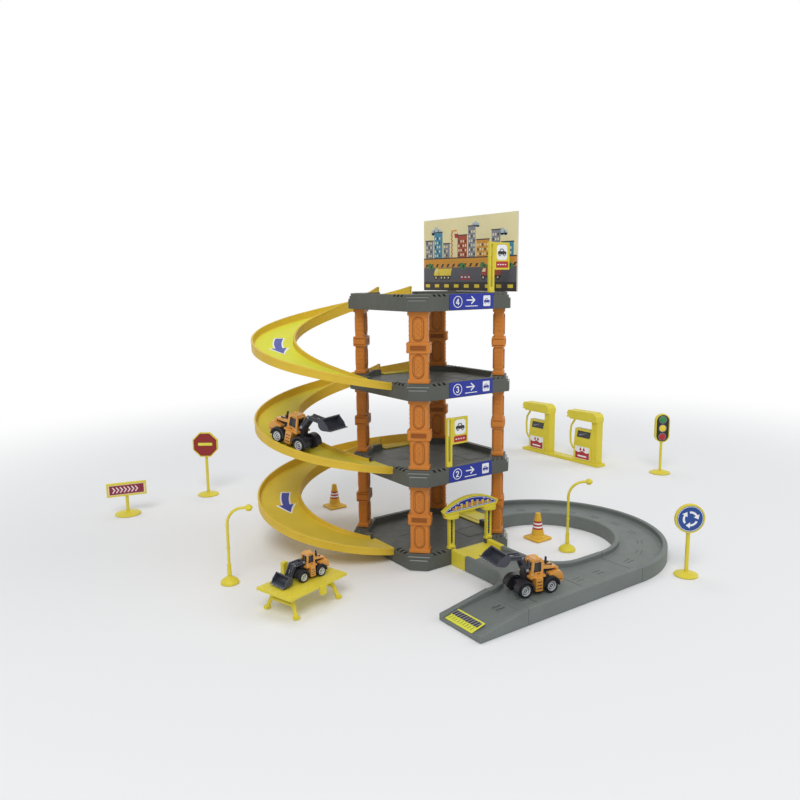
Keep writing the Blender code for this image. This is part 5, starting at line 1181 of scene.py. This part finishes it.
def arm_detail_mesh():
    """Pin heads, edge flanges and the tilt ram that lies between the arm's plates."""
    shape = Shape()
    ex, ez = 14.0, -0.5
    bx, _, bz = BUCKET_PIVOT
    for side in (-1, 1):
        for u, v, radius in ((ex, ez, 1.1), (bx, bz, 1.3)):
            pin = sideways(u, side * 5.8, v, side)
            head = [(0, 0.4), (radius * 0.6, 0.36), (radius, 0.12), (radius, -0.05), (0, -0.05)]
            shape.lathe(head, STEEL, pin, 20)
        face = upright(0, side * 5.8, 0, -side)
        upper = [(2.6, 0.9), (ex - 0.9, 0.8 + ez), (ex - 0.9, ez + 0.2), (2.6, 0.3)]
        lower = [(ex + 0.7, ez - 1.4), (ex + 1.3, ez - 1.1), (bx - 0.3, bz + 3.2),
                 (bx - 0.9, bz + 2.9)]
        for rail in (upper, lower):
            shape.prism([(-side * u, v) for u, v in rail], -0.1, 0.3, BLACK, face)
    shape.tube([(4.9, 0, 0.8), (11.0, 0, 0.2)], 1.3, ARM_GREY, sides=16)
    shape.tube([(10.6, 0, 0.2), (13.2, 0, -0.2)], 0.75, STEEL, sides=14)
    shape.tube([(15.5, 0, -1.6), (18.0, 0, -6.4)], 0.9, ARM_GREY, sides=16)
    shape.tube([(17.8, 0, -6.1), (19.8, 0, -10.4)], 0.5, STEEL, sides=14)
    return shape.mesh("arm_detail", smooth=35.0)


def bucket_detail_mesh():
    """Teeth, cutting edge and back ribs of the scoop."""
    shape = Shape()
    lip_x, lip_z = 18.0, -6.1
    for i in range(7):
        y = -12.6 + i * 4.2
        tooth = [(lip_x - 1.6, lip_z - 0.25), (lip_x + 1.7, lip_z + 0.15),
                 (lip_x - 1.6, lip_z + 1.0)]
        rings = [[shape.point(u, y + w, v) for u, v in tooth] for w in (-0.8, 0.8)]
        shape.skin(rings, STEEL)
    for y in (-9.0, -4.6, 4.6, 9.0):
        outer = arc((9.5, 0.0), 6.7, 130, 262, 12)
        inner = arc((9.5, 0.0), 6.0, 130, 262, 12)
        shape.arch(outer, inner, y - 0.5, y + 0.5, ARM_GREY)
    top = arc((9.5, 0.0), 5.45, 104, 106, 1)[0]
    shape.box((top[0] - 0.5, -14.0, top[1] - 0.55), (top[0] + 0.6, 14.0, top[1] + 0.65), ARM_GREY)
    return shape.mesh("bucket_detail", smooth=35.0)


def dress_loaders():
    wheelset = wheelset_mesh()
    cab, chassis = cab_detail_mesh(), chassis_detail_mesh()
    arm, bucket = arm_detail_mesh(), bucket_detail_mesh()
    for name, (lift, tilt) in LOADERS.items():
        place = loader_place(name)
        scale = place.to_scale().x
        refined(f"{name}_cab", LOADER_PAINT, 0.28 * scale, "loader_orange", angle=34.0)
        refined(f"{name}_chassis", BLACK, 0.16 * scale, "black_plastic", angle=40.0)
        refined(f"{name}_arm", ARM_GREY, 0.16 * scale, "black_plastic", angle=40.0)
        refined(f"{name}_bucket", ARM_GREY, 0.12 * scale, "black_plastic", angle=40.0)
        show(cab, f"{name}_cab_detail", f"{name}_body", place, "loader_orange")
        show(chassis, f"{name}_chassis_detail", f"{name}_body", place, "black_plastic")
        for end, sign in (("front", 1), ("rear", -1)):
            axle = place @ at(sign * WHEELBASE / 2, 0, WHEEL_RADIUS)
            body = f"{name}_{end}_wheels"
            show(wheelset, f"{body}_form", body, axle, "black_plastic", (body,))
        arm_place = place @ at(*ARM_PIVOT) @ Matrix.Rotation(-math.radians(lift), 4, "Y")
        show(arm, f"{name}_arm_detail", f"{name}_arm", arm_place, "black_plastic")
        bucket_place = arm_place @ at(*BUCKET_PIVOT) @ Matrix.Rotation(-math.radians(tilt), 4, "Y")
        show(bucket, f"{name}_bucket_detail", f"{name}_bucket", bucket_place, "black_plastic")


for deck in (1, 2, 3, 4):
    dress_deck(deck)
for deck in (2, 3, 4):
    floor_sign(deck)
dress_columns()
dress_ramp(4, RAMP_FLOOR_LIME_PAINTED_LIGHT)
dress_ramp(3, RAMP_FLOOR_YELLOW_PAINTED_LIGHT)
dress_ramp(2, RAMP_FLOOR_GOLD_PAINTED_LIGHT)
ramp_arrow(4, 140.0, 178.0, -4.6)
ramp_arrow(2, 144.0, 178.0, -6.2)
dress_roads()
dress_arch()
dress_parking_signs()
dress_billboard()
dress_signs()
dress_lamps_and_cones()
dress_fuel_station()
dress_table()
dress_loaders()


# ---------------------------------------------------------------- camera, light and floor
EYE = Vector((-474.644, -621.581, 287.611)) * MM
YAW, PITCH, ROLL = math.radians(35.0721), math.radians(9.4219), math.radians(-0.6325)
LENS = 33.4451
TOY_MIDDLE = (0.1, 0.0, 0.1)
FULL_WHITE = (1.0, 1.0, 1.0, 1.0)
COOL_WHITE = (0.93, 0.96, 1.0, 1.0)
FLOOR_WHITE = (0.9, 0.9, 0.9, 1.0)
FLOOR_CENTRE = (0.1, 0.05)
FLOOR_RADIUS = 6.0
FLOOR_DROP = 0.4 * MM
FADE_START, FADE_END = 0.45, 1.1


def make_camera():
    """The photograph's view, fitted to the tower's edges."""
    level = math.cos(PITCH)
    ahead = Vector((math.sin(YAW) * level, math.cos(YAW) * level, -math.sin(PITCH)))
    right = Vector((math.cos(YAW), -math.sin(YAW), 0.0))
    up = right.cross(ahead)
    rolled_right = right * math.cos(ROLL) + up * math.sin(ROLL)
    rolled_up = up * math.cos(ROLL) - right * math.sin(ROLL)
    camera = bpy.data.objects.new("camera", bpy.data.cameras.new("camera"))
    camera.data.lens = LENS
    camera.data.clip_end = 50.0
    bpy.context.scene.collection.objects.link(camera)
    matrix = Matrix((rolled_right, rolled_up, -ahead)).transposed().to_4x4()
    matrix.translation = EYE
    camera.matrix_world = matrix
    bpy.context.scene.camera = camera


def make_light(name, where, size, power):
    lamp = bpy.data.lights.new(name, "AREA")
    lamp.shape = "DISK"
    lamp.size = size
    lamp.energy = power
    item = bpy.data.objects.new(name, lamp)
    item.location = where
    item.rotation_euler = (Vector(TOY_MIDDLE) - Vector(where)).to_track_quat("-Z", "Y").to_euler()
    bpy.context.scene.collection.objects.link(item)


def seen_rays(tree):
    """1 for camera, glossy and transmission rays, else 0."""
    path = tree.nodes.new("ShaderNodeLightPath")
    total = path.outputs["Is Camera Ray"]
    for ray in ("Is Glossy Ray", "Is Transmission Ray"):
        total = combined(tree, "MAXIMUM", total, path.outputs[ray])
    return total


def make_world():
    world = bpy.data.worlds.new("studio")
    world.use_nodes = True
    bpy.context.scene.world = world
    tree = world.node_tree
    fill = preset(tree.nodes["Background"], Color=COOL_WHITE, Strength=0.46)
    white = preset(tree.nodes.new("ShaderNodeBackground"), Color=FULL_WHITE, Strength=1.0)
    mix = tree.nodes.new("ShaderNodeMixShader")
    tree.links.new(seen_rays(tree), mix.inputs["Fac"])
    tree.links.new(fill.outputs["Background"], mix.inputs[1])
    tree.links.new(white.outputs["Background"], mix.inputs[2])
    tree.links.new(mix.outputs["Shader"], tree.nodes["World Output"].inputs["Surface"])


def make_floor():
    """A pale floor that keeps the shadow near the toy and fades to white further out."""
    bm = bmesh.new()
    bmesh.ops.create_circle(bm, cap_ends=True, segments=96, radius=FLOOR_RADIUS)
    bmesh.ops.translate(bm, verts=bm.verts, vec=(*FLOOR_CENTRE, -FLOOR_DROP))
    mesh = bpy.data.meshes.new("floor")
    bm.to_mesh(mesh)
    bm.free()
    floor = bpy.data.objects.new("floor", mesh)
    bpy.context.scene.collection.objects.link(floor)
    material = bpy.data.materials.new("pale_floor")
    material.use_nodes = True
    tree = material.node_tree
    new, link = tree.nodes.new, tree.links.new
    shader = preset(tree.nodes["Principled BSDF"], Base_Color=FLOOR_WHITE, Roughness=0.9,
                    Specular_IOR_Level=0.1)
    glow = preset(new("ShaderNodeEmission"), Color=FULL_WHITE, Strength=1.0)
    where = new("ShaderNodeNewGeometry")
    far = new("ShaderNodeVectorMath")
    far.operation = "DISTANCE"
    far.inputs[1].default_value = (*FLOOR_CENTRE, 0.0)
    link(where.outputs["Position"], far.inputs[0])
    fade = preset(new("ShaderNodeMapRange"), From_Min=FADE_START, From_Max=FADE_END)
    fade.interpolation_type = "SMOOTHSTEP"
    link(far.outputs["Value"], fade.inputs["Value"])
    mix = new("ShaderNodeMixShader")
    link(combined(tree, "MULTIPLY", fade.outputs["Result"], seen_rays(tree)), mix.inputs["Fac"])
    link(shader.outputs["BSDF"], mix.inputs[1])
    link(glow.outputs["Emission"], mix.inputs[2])
    link(mix.outputs["Shader"], tree.nodes["Material Output"].inputs["Surface"])
    mesh.materials.append(material)


make_camera()
make_light("key", (-1.5, -1.6, 2.3), 1.6, 38.0)
make_light("fill", (1.9, -1.1, 1.5), 1.8, 11.0)
make_light("top", (0.2, 0.8, 2.6), 1.6, 11.0)
make_world()
make_floor()
bpy.context.scene.view_settings.view_transform = "Standard"
